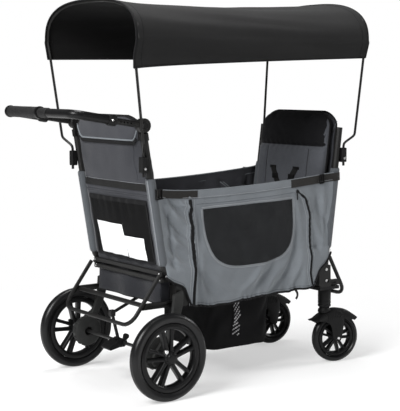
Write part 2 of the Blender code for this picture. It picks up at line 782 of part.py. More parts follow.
def front_wheels():
    for word in ("right", "left"):
        place = caster_frame(word)
        wheel_at(word, place)


def wheel_at(word, place):
    before = set(PARTS.objects)
    cutters_before = set(CUTTERS.objects)
    wheel(f"front_wheel_{word}", FRONT_R, FRONT_TYRE_W, FRONT_TYRE_DEPTH, FRONT_TYRE_W * 0.8,
          FRONT_HUB_R, FRONT_HUB_W, FRONT_SPOKE_PAIR_GAP, FRONT_SPOKE_W,
          (0, TRAIL, FRONT_R), 24, radians(100), through=True)
    made = (set(PARTS.objects) - before) | (set(CUTTERS.objects) - cutters_before)
    for obj in made:
        obj.matrix_world = place @ Matrix.Translation(obj.location)


# Push handle

HANDLE_PIVOT = Vector((0, rear_y(HANDLE_PIVOT_Z) + 0.002, HANDLE_PIVOT_Z))


def handle_frame():
    """Local -Y runs from the pivot along the arms to the grip."""
    return Matrix.Translation(HANDLE_PIVOT) @ Matrix.Rotation(radians(-HANDLE_TILT), 4, "X")




def handle_hinge(word, turn):
    y, z = HANDLE_PIVOT.y, HANDLE_PIVOT.z
    cup = turned([(0, CUP_IN_X), (HINGE_R - 0.003, CUP_IN_X), (HINGE_R, CUP_IN_X + 0.003),
                  (HINGE_R, CUP_IN_X + CUP_T), (0, CUP_IN_X + CUP_T)], y, z, 16)
    obj = add(f"handle_hinge_{word}", turn(cup), "black_plastic")
    low = UP_TOP_Z - 0.022
    socket_top = HANDLE_PIVOT_Z - HINGE_R - 0.0015
    socket = cylinder(TUBE_R + 0.003, (FRAME_X, rear_y(low), low),
                      (FRAME_X, rear_y(socket_top), socket_top), 12)
    rise_top = HANDLE_PIVOT_Z - 0.008
    middle = (low + rise_top) / 2
    neck = box((CUP_T, 0.026, rise_top - low), (CUP_IN_X + CUP_T / 2, rear_y(middle), middle))
    join(obj, [turn(socket), turn(neck)])
    bore_r = (TUBE_R + GAP) / cos(pi / 12)
    bore = cylinder(bore_r, (FRAME_X, rear_y(low - 0.01), low - 0.01),
                    (FRAME_X, rear_y(UP_TOP_Z + 0.003), UP_TOP_Z + 0.003), 12)
    cut(obj, [turn(bore)])


def handle_arm(word, turn):
    frame = handle_frame()
    start = HINGE_R + 0.0025
    arm = cylinder(ARM_R, (ARM_X, -start, 0), (ARM_X, -ARM_LEN, 0), 12)
    obj = add(f"handle_arm_{word}", turn(moved(arm, frame)), "tube", HANDLE_PIVOT)
    cup = turned([(0, CUP_OUT_X), (HINGE_R, CUP_OUT_X), (HINGE_R, CUP_OUT_X + CUP_T - 0.003),
                  (HINGE_R - 0.003, CUP_OUT_X + CUP_T), (0, CUP_OUT_X + CUP_T)], 0, 0, 16)
    neck = box((CUP_T - 0.001, 0.024, 0.019), (ARM_X, -start + 0.006, 0), 0.002)
    join(obj, [turn(moved(shape, frame)) for shape in (cup, neck)])
    face = CUP_OUT_X + CUP_T
    hollows = [cylinder(BUTTON_R + RUN_GAP, (face - BUTTON_PIT, 0, 0), (face + 0.01, 0, 0), 12)]
    for number in range(ARM_HOLES):
        y = -ARM_HOLE_FIRST - number * ARM_HOLE_PITCH
        hollows.append(cylinder(SNAP_R - 0.0008, (ARM_X + 0.004, y, 0), (ARM_X + 0.02, y, 0), 5))
    cut(obj, [turn(moved(hollow, frame)) for hollow in hollows])


def hinge_button(word, side, turn):
    face = CUP_OUT_X + CUP_T
    low = face - BUTTON_PIT + BUTTON_TRAVEL
    top = face + BUTTON_OUT
    profile = [(0, low + 0.001), (BUTTON_R, low + 0.001), (BUTTON_R, top - 0.0015),
               (BUTTON_R - 0.0015, top), (0, top)]
    shape = turn(turned(profile, HANDLE_PIVOT.y, HANDLE_PIVOT.z, 12))
    add(f"hinge_button_{word}", shape, "black_plastic", (side * low, HANDLE_PIVOT.y, HANDLE_PIVOT.z))


def push_bar():
    frame = handle_frame()
    path = [(ARM_X, -BAR_START, 0), (ARM_X, -BAR_REACH, 0), (-ARM_X, -BAR_REACH, 0), (-ARM_X, -BAR_START, 0)]
    obj = add("push_bar", moved(tube(path, BAR_R, BAR_BEND, 3, 4), frame), "black_plastic", HANDLE_PIVOT)
    collar = lambda: moved(turned_y([(0, 0.0), (COLLAR_R - 0.0015, 0.0), (COLLAR_R, 0.0015),
                                     (COLLAR_R, COLLAR_L - 0.003), (COLLAR_R - 0.003, COLLAR_L),
                                     (0, COLLAR_L)], ARM_X, -BAR_START + 0.001, 12), frame)
    join(obj, both(collar))
    bore = lambda: moved(cylinder(ARM_R + RUN_GAP, (ARM_X, 0, 0), (ARM_X, -BORE_DEEP, 0), 12), frame)
    hole_y = -BAR_START - COLLAR_L / 2
    pocket = lambda: moved(cylinder(SNAP_R + RUN_GAP, (ARM_X + ARM_R - 0.002, hole_y, 0),
                                    (ARM_X + 0.05, hole_y, 0), 8), frame)
    cut(obj, both(bore) + both(pocket))


def turned_y(profile, x, y, steps):
    """A profile of (radius, distance) pairs turned about a line that runs along -Y from y."""
    bm = turned([(r, d) for r, d in profile], 0, 0, steps)
    turn = Matrix(((0, 1, 0, x), (-1, 0, 0, y), (0, 0, 1, 0), (0, 0, 0, 1)))
    return moved(bm, turn)


def collar_button(word, side, turn):
    frame = handle_frame()
    hole_y = -BAR_START - COLLAR_L / 2
    low, top = ARM_X + ARM_R + RUN_GAP + SNAP_TRAVEL, ARM_X + COLLAR_R + 0.0030
    pin = moved(turned([(0, low), (SNAP_R, low), (SNAP_R, top - 0.0012), (SNAP_R - 0.0012, top), (0, top)],
                       hole_y, 0, 8), frame)
    at = frame @ Vector((side * low, hole_y, 0))
    add(f"collar_button_{word}", turn(pin), "silver", at)


def push_bar_grip():
    frame = handle_frame()
    sides = 14
    in_r = (BAR_R + GAP) / cos(pi / sides)
    ring = GRIP_RING_W / 2
    left = [(in_r, -GRIP_HALF), (GRIP_R - 0.003, -GRIP_HALF), (GRIP_R, -GRIP_HALF + 0.004), (GRIP_R, -ring),
            (GRIP_RING_R, -ring), (GRIP_RING_R, ring), (GRIP_R - 0.001, ring),
            (GRIP_R - 0.001, GRIP_HALF - 0.004), (GRIP_R - 0.004, GRIP_HALF), (in_r, GRIP_HALF)]
    add("push_bar_grip", moved(turned(left, -BAR_REACH, 0, sides, closed=True), frame), "leather", HANDLE_PIVOT)


# Canopy clips, hoops and cloth

def canopy_clip(end, word, turn):
    y = end.line(CLIP_Z) - end.inward * (TUBE_R + 0.0115)
    body = box((0.022, 0.022, CLIP_H), (FRAME_X + 0.008, y, CLIP_Z), 0.002)
    obj = add(f"{end.name}_canopy_clip_{word}", turn(body), "black_plastic")
    low, high = CLIP_Z - CLIP_H / 2 - 0.02, CLIP_Z + CLIP_H / 2 + 0.02
    tube_cut = cylinder(TUBE_R + GAP, (FRAME_X, end.line(low), low), (FRAME_X, end.line(high), high), 14)
    rod_x, rod_y = rod_foot(end)
    rod_cut = cylinder(ROD_R + GAP, (rod_x, rod_y, low - 0.02), (rod_x, rod_y, high + 0.02), 12)
    cut(obj, [turn(tube_cut), turn(rod_cut)])


def rod_foot(end):
    return FRAME_X + 0.011, end.line(CLIP_Z) - end.inward * (TUBE_R + 0.0125)


def hoop_arch(end):
    points = []
    for step in range(ARCH_POINTS):
        t = pi * step / (ARCH_POINTS - 1)
        c, s = cos(t), sin(t)
        x = HOOP_BULGE_X * np.sign(c) * abs(c) ** (2 / HOOP_POWER)
        z = HOOP_SHOULDER_Z + (end.peak_z - HOOP_SHOULDER_Z) * abs(s) ** (2 / HOOP_POWER)
        points.append((float(x), end.hoop_y, float(z)))
    return points


def canopy_hoop(end):
    foot_x, foot_y = rod_foot(end)
    jog_y = foot_y - end.inward * 0.022
    leg = [(foot_x, foot_y, PEG_Z), (foot_x, foot_y, JOG_LOW_Z),
           (HOOP_X - 0.012, jog_y, JOG_HIGH_Z), (HOOP_X, end.hoop_y, HOOP_LEG_Z)]
    right = round_corners(leg + [(HOOP_BULGE_X, end.hoop_y, HOOP_SHOULDER_Z)], 0.018, 2)[:-1]
    left = [(-x, y, z) for x, y, z in reversed([tuple(p) for p in right])]
    path = [tuple(p) for p in right] + hoop_arch(end) + left
    add(f"{end.name}_canopy_hoop", from_points(path, ROD_R, 1), "tube")


def rod_x(z):
    """How far out the hoop's rod stands at the height z."""
    share = max(0.0, (z - HOOP_LEG_Z) / (HOOP_SHOULDER_Z - HOOP_LEG_Z))
    return HOOP_X + (HOOP_BULGE_X - HOOP_X) * share + GAP


def canopy_row(y):
    """One section across the cloth at y: points and outward directions, from right edge to left."""
    rise = ROD_R + CLOTH_T / 2 + 2 * GAP
    span = HOOP_FRONT_Y - HOOP_REAR_Y
    t = min(1.0, max(0.0, (y - HOOP_REAR_Y) / span))
    free = min(1.0, max(0.0, (y - HOOP_REAR_Y - CANOPY_HEM) / (span - 2 * CANOPY_HEM)))
    sag = CANOPY_SAG * (4 * free * (1 - free)) ** 0.75
    peak = REAR_PEAK_Z + (FRONT_PEAK_Z - REAR_PEAK_Z) * t
    low_right = EDGE_REAR_RIGHT_Z + (EDGE_FRONT_RIGHT_Z - EDGE_REAR_RIGHT_Z) * t ** 0.7
    low_left = EDGE_REAR_LEFT_Z + (EDGE_FRONT_LEFT_Z - EDGE_REAR_LEFT_Z) * t
    row = [Vector((rod_x(low_right) + rise, y, low_right))]
    out = [Vector((1, 0, 0))]
    for step in range(ARCH_POINTS):
        a = pi * step / (ARCH_POINTS - 1)
        c, s = cos(a), sin(a)
        crown = abs(s) ** (2 / HOOP_POWER)
        side = float(np.sign(c) * abs(c) ** (2 / HOOP_POWER)) if abs(c) > 1e-9 else 0.0
        normal = Vector((side * abs(side), 0, max(crown, 0.02))).normalized()
        x = (HOOP_BULGE_X - sag * 0.35) * side
        z = HOOP_SHOULDER_Z + (peak - HOOP_SHOULDER_Z) * crown - sag * crown
        fold = CANOPY_FOLD * sin(14 * s + 3 * free) * sin(pi * min(1, free * 1.4)) ** 2
        fold *= 1 if 0 < free < 1 else 0
        row.append(Vector((x, y, z)) + normal * (rise + fold))
        out.append(normal)
    row.append(Vector((-rod_x(low_left) - rise, y, low_left)))
    out.append(Vector((-1, 0, 0)))
    return row, [normal * CLOTH_T for normal in out]


def canopy():
    first, last = HOOP_REAR_Y, HOOP_FRONT_Y
    inner = np.linspace(first + CANOPY_HEM, last - CANOPY_HEM, CANOPY_SECTIONS)
    stations = [first - CANOPY_HEM, *inner, last + CANOPY_HEM]
    rows = [canopy_row(float(y)) for y in stations]
    add("canopy", sheet([row for row, out in rows], [out for row, out in rows]), "black_cloth", smooth=60)


# Seat backs: padded panels with a rounded top, a crown and a channel below the head pad

def panel_grid(half, low, high, corner, across, rows):
    """Rows of x positions that narrow along the rounded head."""
    grid = []
    for i in range(rows):
        v = i / (rows - 1)
        z = low + (high - low) * v
        over = max(0.0, z - (high - corner))
        width = half - corner + np.sqrt(max(corner ** 2 - over ** 2, 0.0))
        if i == rows - 1:
            width = half - corner * 0.85
        grid.append([(width * (2 * j / (across - 1) - 1), z) for j in range(across)])
    return grid


def back_thick(z):
    """The seat back thins towards its lower edge, where the folded cushion comes up."""
    return BACK_T * min(1.0, BACK_TAPER + (1 - BACK_TAPER) * (z - BACK_LOW_Z) / BACK_TAPER_H)


def seat_back(end):
    across, rows = 11, 12
    grid = panel_grid(BACK_HALF_X, BACK_LOW_Z, BACK_TOP_Z, BACK_CORNER_R, across, rows)
    points, dirs = [], []
    for i, row in enumerate(grid):
        line, out = [], []
        for j, (x, z) in enumerate(row):
            u = abs(2 * j / (across - 1) - 1)
            v = i / (rows - 1)
            edge = min(1.0, (1 - u) * 5) * min(1.0, (1 - v) * 6)
            channel = BACK_CHANNEL * np.exp(-((z - BACK_CHANNEL_Z) / 0.016) ** 2)
            thick = back_thick(z) * (0.55 + 0.45 * edge ** 0.5) - channel
            base = end.line(z) + end.inward * BACK_OFF
            line.append((x, base + end.inward * thick / 2, z))
            out.append((0, end.inward * thick, 0))
        points.append(line)
        dirs.append(out)
    add(f"{end.name}_seat_back", sheet(points, dirs), "grey_cloth", smooth=50)


def panel_swell(x, z):
    """How far the back panel's cloth stands out of its plane."""
    u = x / (BACK_HALF_X + 0.012)
    v = min(1, max(0, (z - SLEEVE_LOW_Z) / (BACK_TOP_Z - SLEEVE_LOW_Z)))
    return PANEL_SWELL * (1 - u * u) * (0.35 + 0.65 * sin(pi * v)) * min(1, 4 * v)


def pocket_out(x, z):
    """How far the middle of the pocket's cloth stands out from the upright's line."""
    u = x / POCKET_HALF_X
    v = (z - POCKET_LOW_Z) / (POCKET_HIGH_Z - POCKET_LOW_Z)
    slack = POCKET_BULGE * (1 - u * u) * (0.35 + 0.65 * sin(pi * v))
    return panel_swell(x, z) + slack + PANEL_T / 2 + POCKET_T / 2 + GAP


def cloth_on_rear(x0, x1, z0, z1, out, thickness, across, high):
    points = []
    for z in np.linspace(z0, z1, high):
        line = [(x, rear_y(z) - pocket_out(x, z) - out, z) for x in np.linspace(x0, x1, across)]
        points.append(line)
    return sheet(points, [[(0, thickness, 0)] * across] * high)


def back_panel(end):
    """One cloth from the floor frame, inside the flat bars, up to the head of the seat back."""
    across = 7
    grid = panel_grid(BACK_HALF_X + 0.012, SLEEVE_LOW_Z, BACK_TOP_Z + 0.001, BACK_CORNER_R, across, 8)
    points, dirs = [], []
    for z in (end.skirt_z, 0.345, 0.385, 0.416):
        row = [(SKIRT_HALF_X * (2 * j / (across - 1) - 1), end.skirt_y, z) for j in range(across)]
        points.append(row)
    for row in grid:
        points.append([(x, end.line(z) - end.inward * panel_swell(x, z), z) for x, z in row])
    dirs = [[(0, end.inward * PANEL_T, 0)] * across] * len(points)
    add(f"{end.name}_back_panel", sheet(points, dirs), "dark_grey_cloth", smooth=50)


def rear_pocket():
    shape = cloth_on_rear(-POCKET_HALF_X, POCKET_HALF_X, POCKET_LOW_Z, POCKET_HIGH_Z, 0, POCKET_T, 7, 7)
    add("rear_pocket", shape, "black_cloth", smooth=50)


def label_patches():
    """Two plain patches side by side on the pocket."""
    out = POCKET_T / 2 + LABEL_T / 2 + 2 * GAP
    seam = LABEL_SEAM_X
    left = cloth_on_rear(seam - LABEL_LEFT_W, seam + 0.001, LABEL_LOW_Z + 0.003,
                         LABEL_LOW_Z + 0.003 + LABEL_LEFT_H, out, LABEL_T, 5, 5)
    right = cloth_on_rear(seam - 0.001, seam + LABEL_RIGHT_W, LABEL_LOW_Z,
                          LABEL_LOW_Z + LABEL_RIGHT_H, out, LABEL_T, 4, 4)
    obj = add("label_patches", left, "white_label", smooth=50)
    join(obj, [right])


def harness(end):
    """Two shoulder straps and a crotch strap, meeting under a square buckle pad."""
    pad = box((HARNESS_PAD_W, HARNESS_PAD_T, HARNESS_PAD_H), (0, 0, 0), 0.004)
    lean = atan2(end.line(0) - end.line(1), 1)
    pad_off = BACK_OFF + BACK_T + HARNESS_PAD_T / 2 + 0.0018
    base = end.line(HARNESS_PAD_Z) + end.inward * pad_off
    pad = moved(pad, Matrix.Translation((0, base, HARNESS_PAD_Z)) @ Matrix.Rotation(lean, 4, "X"))
    obj = add(f"{end.name}_harness", pad, "black_webbing")
    straps = []
    shoulder, buckle = (SHOULDER_X, SHOULDER_Z), (BUCKLE_X, BUCKLE_Z)
    crotch = ((0.0, HARNESS_PAD_Z - 0.010), (0.0, CROTCH_LOW_Z))
    routes = [(shoulder, buckle), ((-SHOULDER_X, SHOULDER_Z), (-BUCKLE_X, BUCKLE_Z)), crotch]
    for (top_x, top_z), (low_x, low_z) in routes:
        rows = []
        for z in np.linspace(low_z, top_z, 7):
            x = low_x + (top_x - low_x) * (z - low_z) / (top_z - low_z)
            y = end.line(z) + end.inward * (BACK_OFF + back_thick(z) + STRAP_OFF)
            rows.append([(x - HARNESS_W / 2, y, z), (x + HARNESS_W / 2, y, z)])
        straps.append(sheet(rows, [[(0, end.inward * HARNESS_T, 0)] * 2] * len(rows)))
    join(obj, straps)


# Grey sleeves that the side walls make round the uprights

def sleeve(end):
    steps = 10
    reach = 3
    bm = bmesh.new()
    rings = []
    for radius_x, radius_y in ((SLEEVE_RX, SLEEVE_RY), (TUBE_R + 0.0010, TUBE_R + 0.0010)):
        layer = []
        for i in range(reach):
            z = SLEEVE_LOW_Z + (SLEEVE_HIGH_Z - SLEEVE_LOW_Z) * i / (reach - 1)
            layer.append([bm.verts.new((FRAME_X + radius_x * cos(2 * pi * k / steps),
                                        end.line(z) + radius_y * sin(2 * pi * k / steps), z))
                          for k in range(steps)])
        rings.append(layer)
    outer, inner = rings
    for i in range(reach - 1):
        for k in range(steps):
            m = (k + 1) % steps
            bm.faces.new((outer[i][k], outer[i][m], outer[i + 1][m], outer[i + 1][k]))
            bm.faces.new((inner[i][m], inner[i][k], inner[i + 1][k], inner[i + 1][m]))
    for i in (0, reach - 1):
        for k in range(steps):
            m = (k + 1) % steps
            bm.faces.new((outer[i][k], outer[i][m], inner[i][m], inner[i][k]))
    bmesh.ops.recalc_face_normals(bm, faces=bm.faces)
    return bm


# Side walls: cloth from sleeve to sleeve, corners cut away round the hinge blocks

def wall_edges(t):
    """Top and bottom z of the wall at the share t of its length, and the y range at height z."""
    rim = RIM_MID_Z + (RIM_REAR_Z - RIM_MID_Z) * (1 - t) ** 4 + (RIM_FRONT_Z - RIM_MID_Z) * t ** 2
    hem = HEM_MID_Z + 0.010 * abs(2 * t - 1) ** 3
    cut_rear = WALL_CUT * max(0.0, 1 - (t / 0.135) ** 4) ** 0.5
    cut_front = WALL_CUT * max(0.0, 1 - ((1 - t) / 0.10) ** 4) ** 0.5
    return rim, hem + max(cut_rear, cut_front)


def wall_y(t, z):
    start = rear_y(max(z, SLEEVE_LOW_Z)) + SLEEVE_RY - 0.002
    finish = front_y(max(z, SLEEVE_LOW_Z)) - SLEEVE_RY + 0.002
    return start + (finish - start) * t


def wall_x(t, v):
    swell = WALL_BULGE * sin(pi * min(max(t, 0), 1)) * (0.4 + 0.6 * sin(pi * v))
    crease = 0.0018 * sin(9 * t + 5 * v) * sin(pi * t) * sin(pi * v)
    slack = 0.0022 * sin(24 * t - 4 * v) * (1 - v) ** 2 * sin(pi * t)
    return FRAME_X + swell + crease + slack


def side_wall(word, turn):
    points, dirs = [], []
    for i in range(WALL_ROWS):
        v = i / (WALL_ROWS - 1)
        row = []
        for t in WALL_COLUMNS:
            rim, hem = wall_edges(t)
            z = hem + (rim - hem) * v
            row.append((wall_x(t, v), wall_y(t, z), z))
        points.append(row)
        dirs.append([(WALL_T, 0, 0)] * len(WALL_COLUMNS))
    obj = add(f"side_wall_{word}", turn(sheet(points, dirs)), "grey_cloth", smooth=50)
    join(obj, [turn(sleeve(REAR)), turn(sleeve(FRONT))])


# Foot well: an open-topped box of cloth with rounded corners and a taper

def foot_well():
    mid_y = (WELL_REAR_Y + WELL_FRONT_Y) / 2
    half_y = (WELL_FRONT_Y - WELL_REAR_Y) / 2
    steps = 20

    def loop(z_share, inset):
        z = WELL_TOP_Z + (WELL_LOW_Z - WELL_TOP_Z) * z_share
        shrink = WELL_TAPER * z_share + inset
        flare = 1 - min(1, z_share / WELL_FLARE_SHARE)
        centre = mid_y + (CENTRE_Y - mid_y) * flare
        half_x = WELL_HALF_X + (WELL_RIM_HALF_X - WELL_HALF_X) * flare
        deep = half_y + (WELL_RIM_HALF_Y - half_y) * flare
        points = []
        for k in range(steps):
            a = 2 * pi * k / steps
            c, s = cos(a), sin(a)
            x = (half_x - shrink) * np.sign(c) * abs(c) ** 0.36
            y = centre + (deep - shrink) * np.sign(s) * abs(s) ** 0.36
            points.append((float(x), float(y), z))
        return points

    bm = bmesh.new()
    shares = (0, WELL_FLARE_SHARE, 0.5, 0.96, 1.0)
    loops = [loop(share, 0.010 if share == 1.0 else 0) for share in shares]
    rings = [[bm.verts.new(p) for p in points] for points in loops]
    wall = 0.004
    inner = [[bm.verts.new((x, y, max(z, WELL_LOW_Z + wall))) for x, y, z in
              loop(share, wall + (0.010 if share == 1.0 else 0))] for share in shares]
    for stack, flip in ((rings, False), (inner, True)):
        for low, high in zip(stack, stack[1:]):
            for k in range(steps):
                m = (k + 1) % steps
                ring = (low[k], low[m], high[m], high[k])
                bm.faces.new(ring[::-1] if flip else ring)
        bm.faces.new(stack[-1] if flip else stack[-1][::-1])
    for k in range(steps):
        m = (k + 1) % steps
        bm.faces.new((rings[0][m], rings[0][k], inner[0][k], inner[0][m]))
    bmesh.ops.recalc_face_normals(bm, faces=bm.faces)
    add("foot_well", bm, "black_cloth", smooth=40)


# Folding floor: two frames pinned to the blocks and to each other

def base_frame(end):
    inward = end.inward
    rear = end is REAR
    lug_x = BASE_X + (LUG_T / 2 + GAP if rear else -LUG_T / 2 - GAP)
    far_y = CENTRE_Y - inward * CENTRE_REACH
    near_y = end.pivot_y + inward * 0.010
    rail = lambda: cylinder(BASE_R, (BASE_X, near_y, PIVOT_Z), (BASE_X, far_y, PIVOT_Z), 8)
    obj = add(f"{end.name}_base_frame", both(rail), "tube", (0, end.pivot_y, PIVOT_Z))
    end_lug = lambda: slab(ring_points(end.pivot_y, PIVOT_Z, LUG_R, 10), BASE_X, 2 * LUG_T)
    disc = ring_points(CENTRE_Y, PIVOT_Z, LUG_R * 0.8, 8)
    mid_lug = lambda: slab(disc, lug_x, LUG_T)
    mid_tongue = lambda: box((LUG_T, TONGUE_L, TONGUE_H),
                             (lug_x, CENTRE_Y - inward * (TONGUE_L / 2 + 0.006), PIVOT_Z))
    cross_y = end.pivot_y + inward * 0.035
    straps = [box((2 * BASE_X, STRAP_W, STRAP_T), (0, y, PIVOT_Z - BASE_R + STRAP_T / 2 - STRAP_SINK))
              for y in (cross_y, end.pivot_y + inward * (SEAT_REACH - STRAP_IN))]
    join(obj, both(end_lug) + both(mid_lug) + both(mid_tongue) + straps)
    end_hole = lambda: cylinder(PIN_R + RUN_GAP, (BASE_X - 0.02, end.pivot_y, PIVOT_Z),
                                (BASE_X + 0.02, end.pivot_y, PIVOT_Z), 8)
    low, high = PIVOT_Z - 0.02, PIVOT_Z + 0.02
    near, far = CENTRE_Y - 0.0145, CENTRE_Y + 0.0145
    half = 0.0065
    other = lambda: slab([(near, low), (far, low), (far, high), (near, high)],
                         BASE_X + (-half if rear else half), 2 * half)
    cut(obj, both(end_hole) + both(other))
    if rear:
        join(obj, both(centre_pin) + both(centre_head))
    else:
        cut(obj, both(centre_hole))


def centre_pin():
    return cylinder(PIN_R, (BASE_X + LUG_T, CENTRE_Y, PIVOT_Z), (BASE_X - LUG_T - 0.003, CENTRE_Y, PIVOT_Z), 8)


def centre_head():
    return cylinder(PIN_R + 0.003, (BASE_X - LUG_T - 2 * GAP, CENTRE_Y, PIVOT_Z),
                    (BASE_X - LUG_T - 0.003, CENTRE_Y, PIVOT_Z), 8)


def centre_hole():
    return cylinder(PIN_R + RUN_GAP, (BASE_X - 0.02, CENTRE_Y, PIVOT_Z), (BASE_X + 0.02, CENTRE_Y, PIVOT_Z), 8)


def seat_span(end):
    edge = REAR_SEAT_EDGE if end is REAR else FRONT_SEAT_EDGE
    return end.pivot_y + end.inward * edge, end.pivot_y + end.inward * SEAT_REACH


def seat_board(end):
    outer, inner = seat_span(end)
    low = BOARD_LOW_Z
    shape = box((2 * BOARD_X, abs(inner - outer), BOARD_T), (0, (inner + outer) / 2, low + BOARD_T / 2), 0.002)
    add(f"{end.name}_seat_board", shape, "black_plastic", (0, end.pivot_y, PIVOT_Z))


def seat_cushion(end):
    """Pad with a crown, drawn-in sides and two channels across."""
    outer, inner = seat_span(end)
    low = BOARD_LOW_Z + BOARD_T + GAP
    across, deep = 13, 8
    rows, dirs = [], []
    for i in range(deep):
        v = i / (deep - 1)
        row, out = [], []
        for j in range(across):
            u = 2 * j / (across - 1) - 1
            edge = min(1, (1 - abs(u)) * 7 + 0.35) * min(1, (1 - abs(2 * v - 1)) * 4 + 0.35)
            channel = 0.006 * (np.exp(-((abs(u) - 0.36) / 0.07) ** 2))
            thick = CUSHION_T * edge - channel * edge
            draw = 1 - 0.02 * (1 - abs(2 * v - 1))
            row.append((BOARD_X * u * draw, outer + (inner - outer) * v, low + thick / 2))
            out.append((0, 0, thick))
        rows.append(row)
        dirs.append(out)
    add(f"{end.name}_seat_cushion", sheet(rows, dirs), "dark_grey_cloth", (0, end.pivot_y, PIVOT_Z), 50)


def build():
    for end in (REAR, FRONT):
        uprights(end)
        hinge_blocks(end)
        u_tube(end)
        side_rails(end)
        canopy_hoop(end)
        seat_back(end)
        back_panel(end)
        harness(end)
        base_frame(end)
        seat_board(end)
        seat_cushion(end)
        for word, side, turn in SIDES:
            canopy_clip(end, word, turn)
    rear_wheels()
    axle_and_stay()
    brake_pedal()
    front_wheels()
    push_bar()
    push_bar_grip()
    for word, side, turn in SIDES:
        rear_leg(word, turn)
        caster_housing(word, turn)
        caster(word)
        handle_hinge(word, turn)
        handle_arm(word, turn)
        hinge_button(word, side, turn)
        collar_button(word, side, turn)
        side_wall(word, turn)
    canopy()
    rear_pocket()
    label_patches()
    foot_well()
    for obj in list(PARTS.objects) + list(CUTTERS.objects):
        obj.location.y -= AXLE_TO_ORIGIN


build()
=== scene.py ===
# Looks of the double stroller wagon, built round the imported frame.
# Lengths are metres. Positions are laid out from the rear axle, as P(x, y, z), and moved to the frame's origin.

import bpy
import bmesh
from math import pi, sin, cos, radians, sqrt, exp, atan2
from mathutils import Matrix, Vector, noise
from mathutils.bvhtree import BVHTree

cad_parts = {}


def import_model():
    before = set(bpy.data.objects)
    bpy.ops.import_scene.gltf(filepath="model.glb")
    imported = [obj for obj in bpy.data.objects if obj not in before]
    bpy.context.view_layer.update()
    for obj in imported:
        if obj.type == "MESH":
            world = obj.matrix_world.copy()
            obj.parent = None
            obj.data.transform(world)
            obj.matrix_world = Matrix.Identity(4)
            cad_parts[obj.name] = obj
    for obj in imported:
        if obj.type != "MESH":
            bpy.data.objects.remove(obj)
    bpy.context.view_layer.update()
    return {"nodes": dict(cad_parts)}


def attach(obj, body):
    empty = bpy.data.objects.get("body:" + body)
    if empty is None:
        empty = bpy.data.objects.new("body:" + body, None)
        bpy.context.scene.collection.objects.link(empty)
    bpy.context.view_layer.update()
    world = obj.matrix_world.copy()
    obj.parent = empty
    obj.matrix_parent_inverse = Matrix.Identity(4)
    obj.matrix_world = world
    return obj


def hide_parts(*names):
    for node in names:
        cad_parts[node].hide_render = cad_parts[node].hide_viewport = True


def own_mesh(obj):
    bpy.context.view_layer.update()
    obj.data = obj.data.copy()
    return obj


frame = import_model()

AXLE_TO_ORIGIN = 0.3013

# Sizes shared with the solids
FRAME_X = 0.218
TUBE_R = 0.0125
REAR_KNEE_Y = 0.036
REAR_LEAN = 0.165
FRONT_KNEE_Y = 0.752
FRONT_LEAN = 0.131
KNEE_Z = 0.425
SLEEVE_LOW_Z = 0.432
SLEEVE_HIGH_Z = 0.723
SLEEVE_RX = 0.0150
SLEEVE_RY = 0.0180
PIVOT_Z = 0.360
REAR_PIVOT_Y = 0.100
FRONT_PIVOT_Y = 0.735
CENTRE_Y = 0.4175
SEAT_REACH = 0.145
BOARD_X = 0.170
CUSHION_LOW_Z = 0.3602
CUSHION_T = 0.028
BACK_HALF_X = 0.188
BACK_TOP_Z = 0.926
BACK_LOW_Z = 0.432
BACK_T = 0.046
BACK_OFF = 0.0028
PUFF_FRAMES = 20
PAD_CAP = 0.0060
CUSHION_CAP = 0.0050
HOOP_X = 0.275
HOOP_BULGE_X = 0.293
HOOP_REAR_Y = -0.104
HOOP_FRONT_Y = 0.872
HOOP_LEG_Z = 1.118
HOOP_SHOULDER_Z = 1.175
HOOP_POWER = 2.7
REAR_PEAK_Z = 1.303
FRONT_PEAK_Z = 1.317
REAR_R = 0.145
REAR_X = 0.300
TYRE_W = 0.038
FRONT_R = 0.0916
FRONT_TYRE_W = 0.036
STEM_X = 0.186
STEM_Y = 0.774
TRAIL = 0.044
CASTER_YAW = {"right": -14.0, "left": -5.0}
HANDLE_PIVOT = Vector((0.0, -0.03988, 0.897))
HANDLE_TILT = 9.3
ARM_X = 0.22555
BAR_R = 0.0145
BAR_START = 0.112
BAR_REACH = 0.254
SIDES = (("right", 1), ("left", -1))


def P(x, y, z):
    return Vector((x, y - AXLE_TO_ORIGIN, z))


def rear_y(z):
    return REAR_KNEE_Y - (z - KNEE_Z) * REAR_LEAN


def front_y(z):
    return FRONT_KNEE_Y + (z - KNEE_Z) * FRONT_LEAN


def clamp(x):
    return min(1.0, max(0.0, x))


def smooth_step(a, b, x):
    t = clamp((x - a) / (b - a))
    return t * t * (3 - 2 * t)


def hump(x):
    """A bell curve of height one."""
    return exp(-x * x)


def squared(c, power):
    """A cosine or sine drawn toward its ends, which makes a circle nearly square. The sign is kept."""
    return (1 if c >= 0 else -1) * abs(c) ** power


def round_square(steps, power=1.0, other=None):
    """Places round a circle of radius one, drawn toward a square."""
    turns = [2 * pi * k / steps for k in range(steps)]
    return [(squared(cos(a), power), squared(sin(a), other or power)) for a in turns]


def bumpy(x, y, z):
    """Smooth noise between about -1 and 1."""
    return noise.noise(Vector((x, y, z)))


def spread(first, last, steps):
    """Even values from first to last, both included."""
    return [first + (last - first) * k / steps for k in range(steps + 1)]


# Camera at the photograph's place

CAMERA_AT = (3.47396, -2.14962, 1.04778)
AZIMUTH, ELEVATION, ROLL = radians(54.344), radians(6.041), radians(-0.126)
FOCUS_PX = 1200.0
PHOTO_SIDE_PX = 411.0
SENSOR_MM = 36.0


def linked(name, data):
    """A new object in the scene."""
    obj = bpy.data.objects.new(name, data)
    bpy.context.scene.collection.objects.link(obj)
    return obj


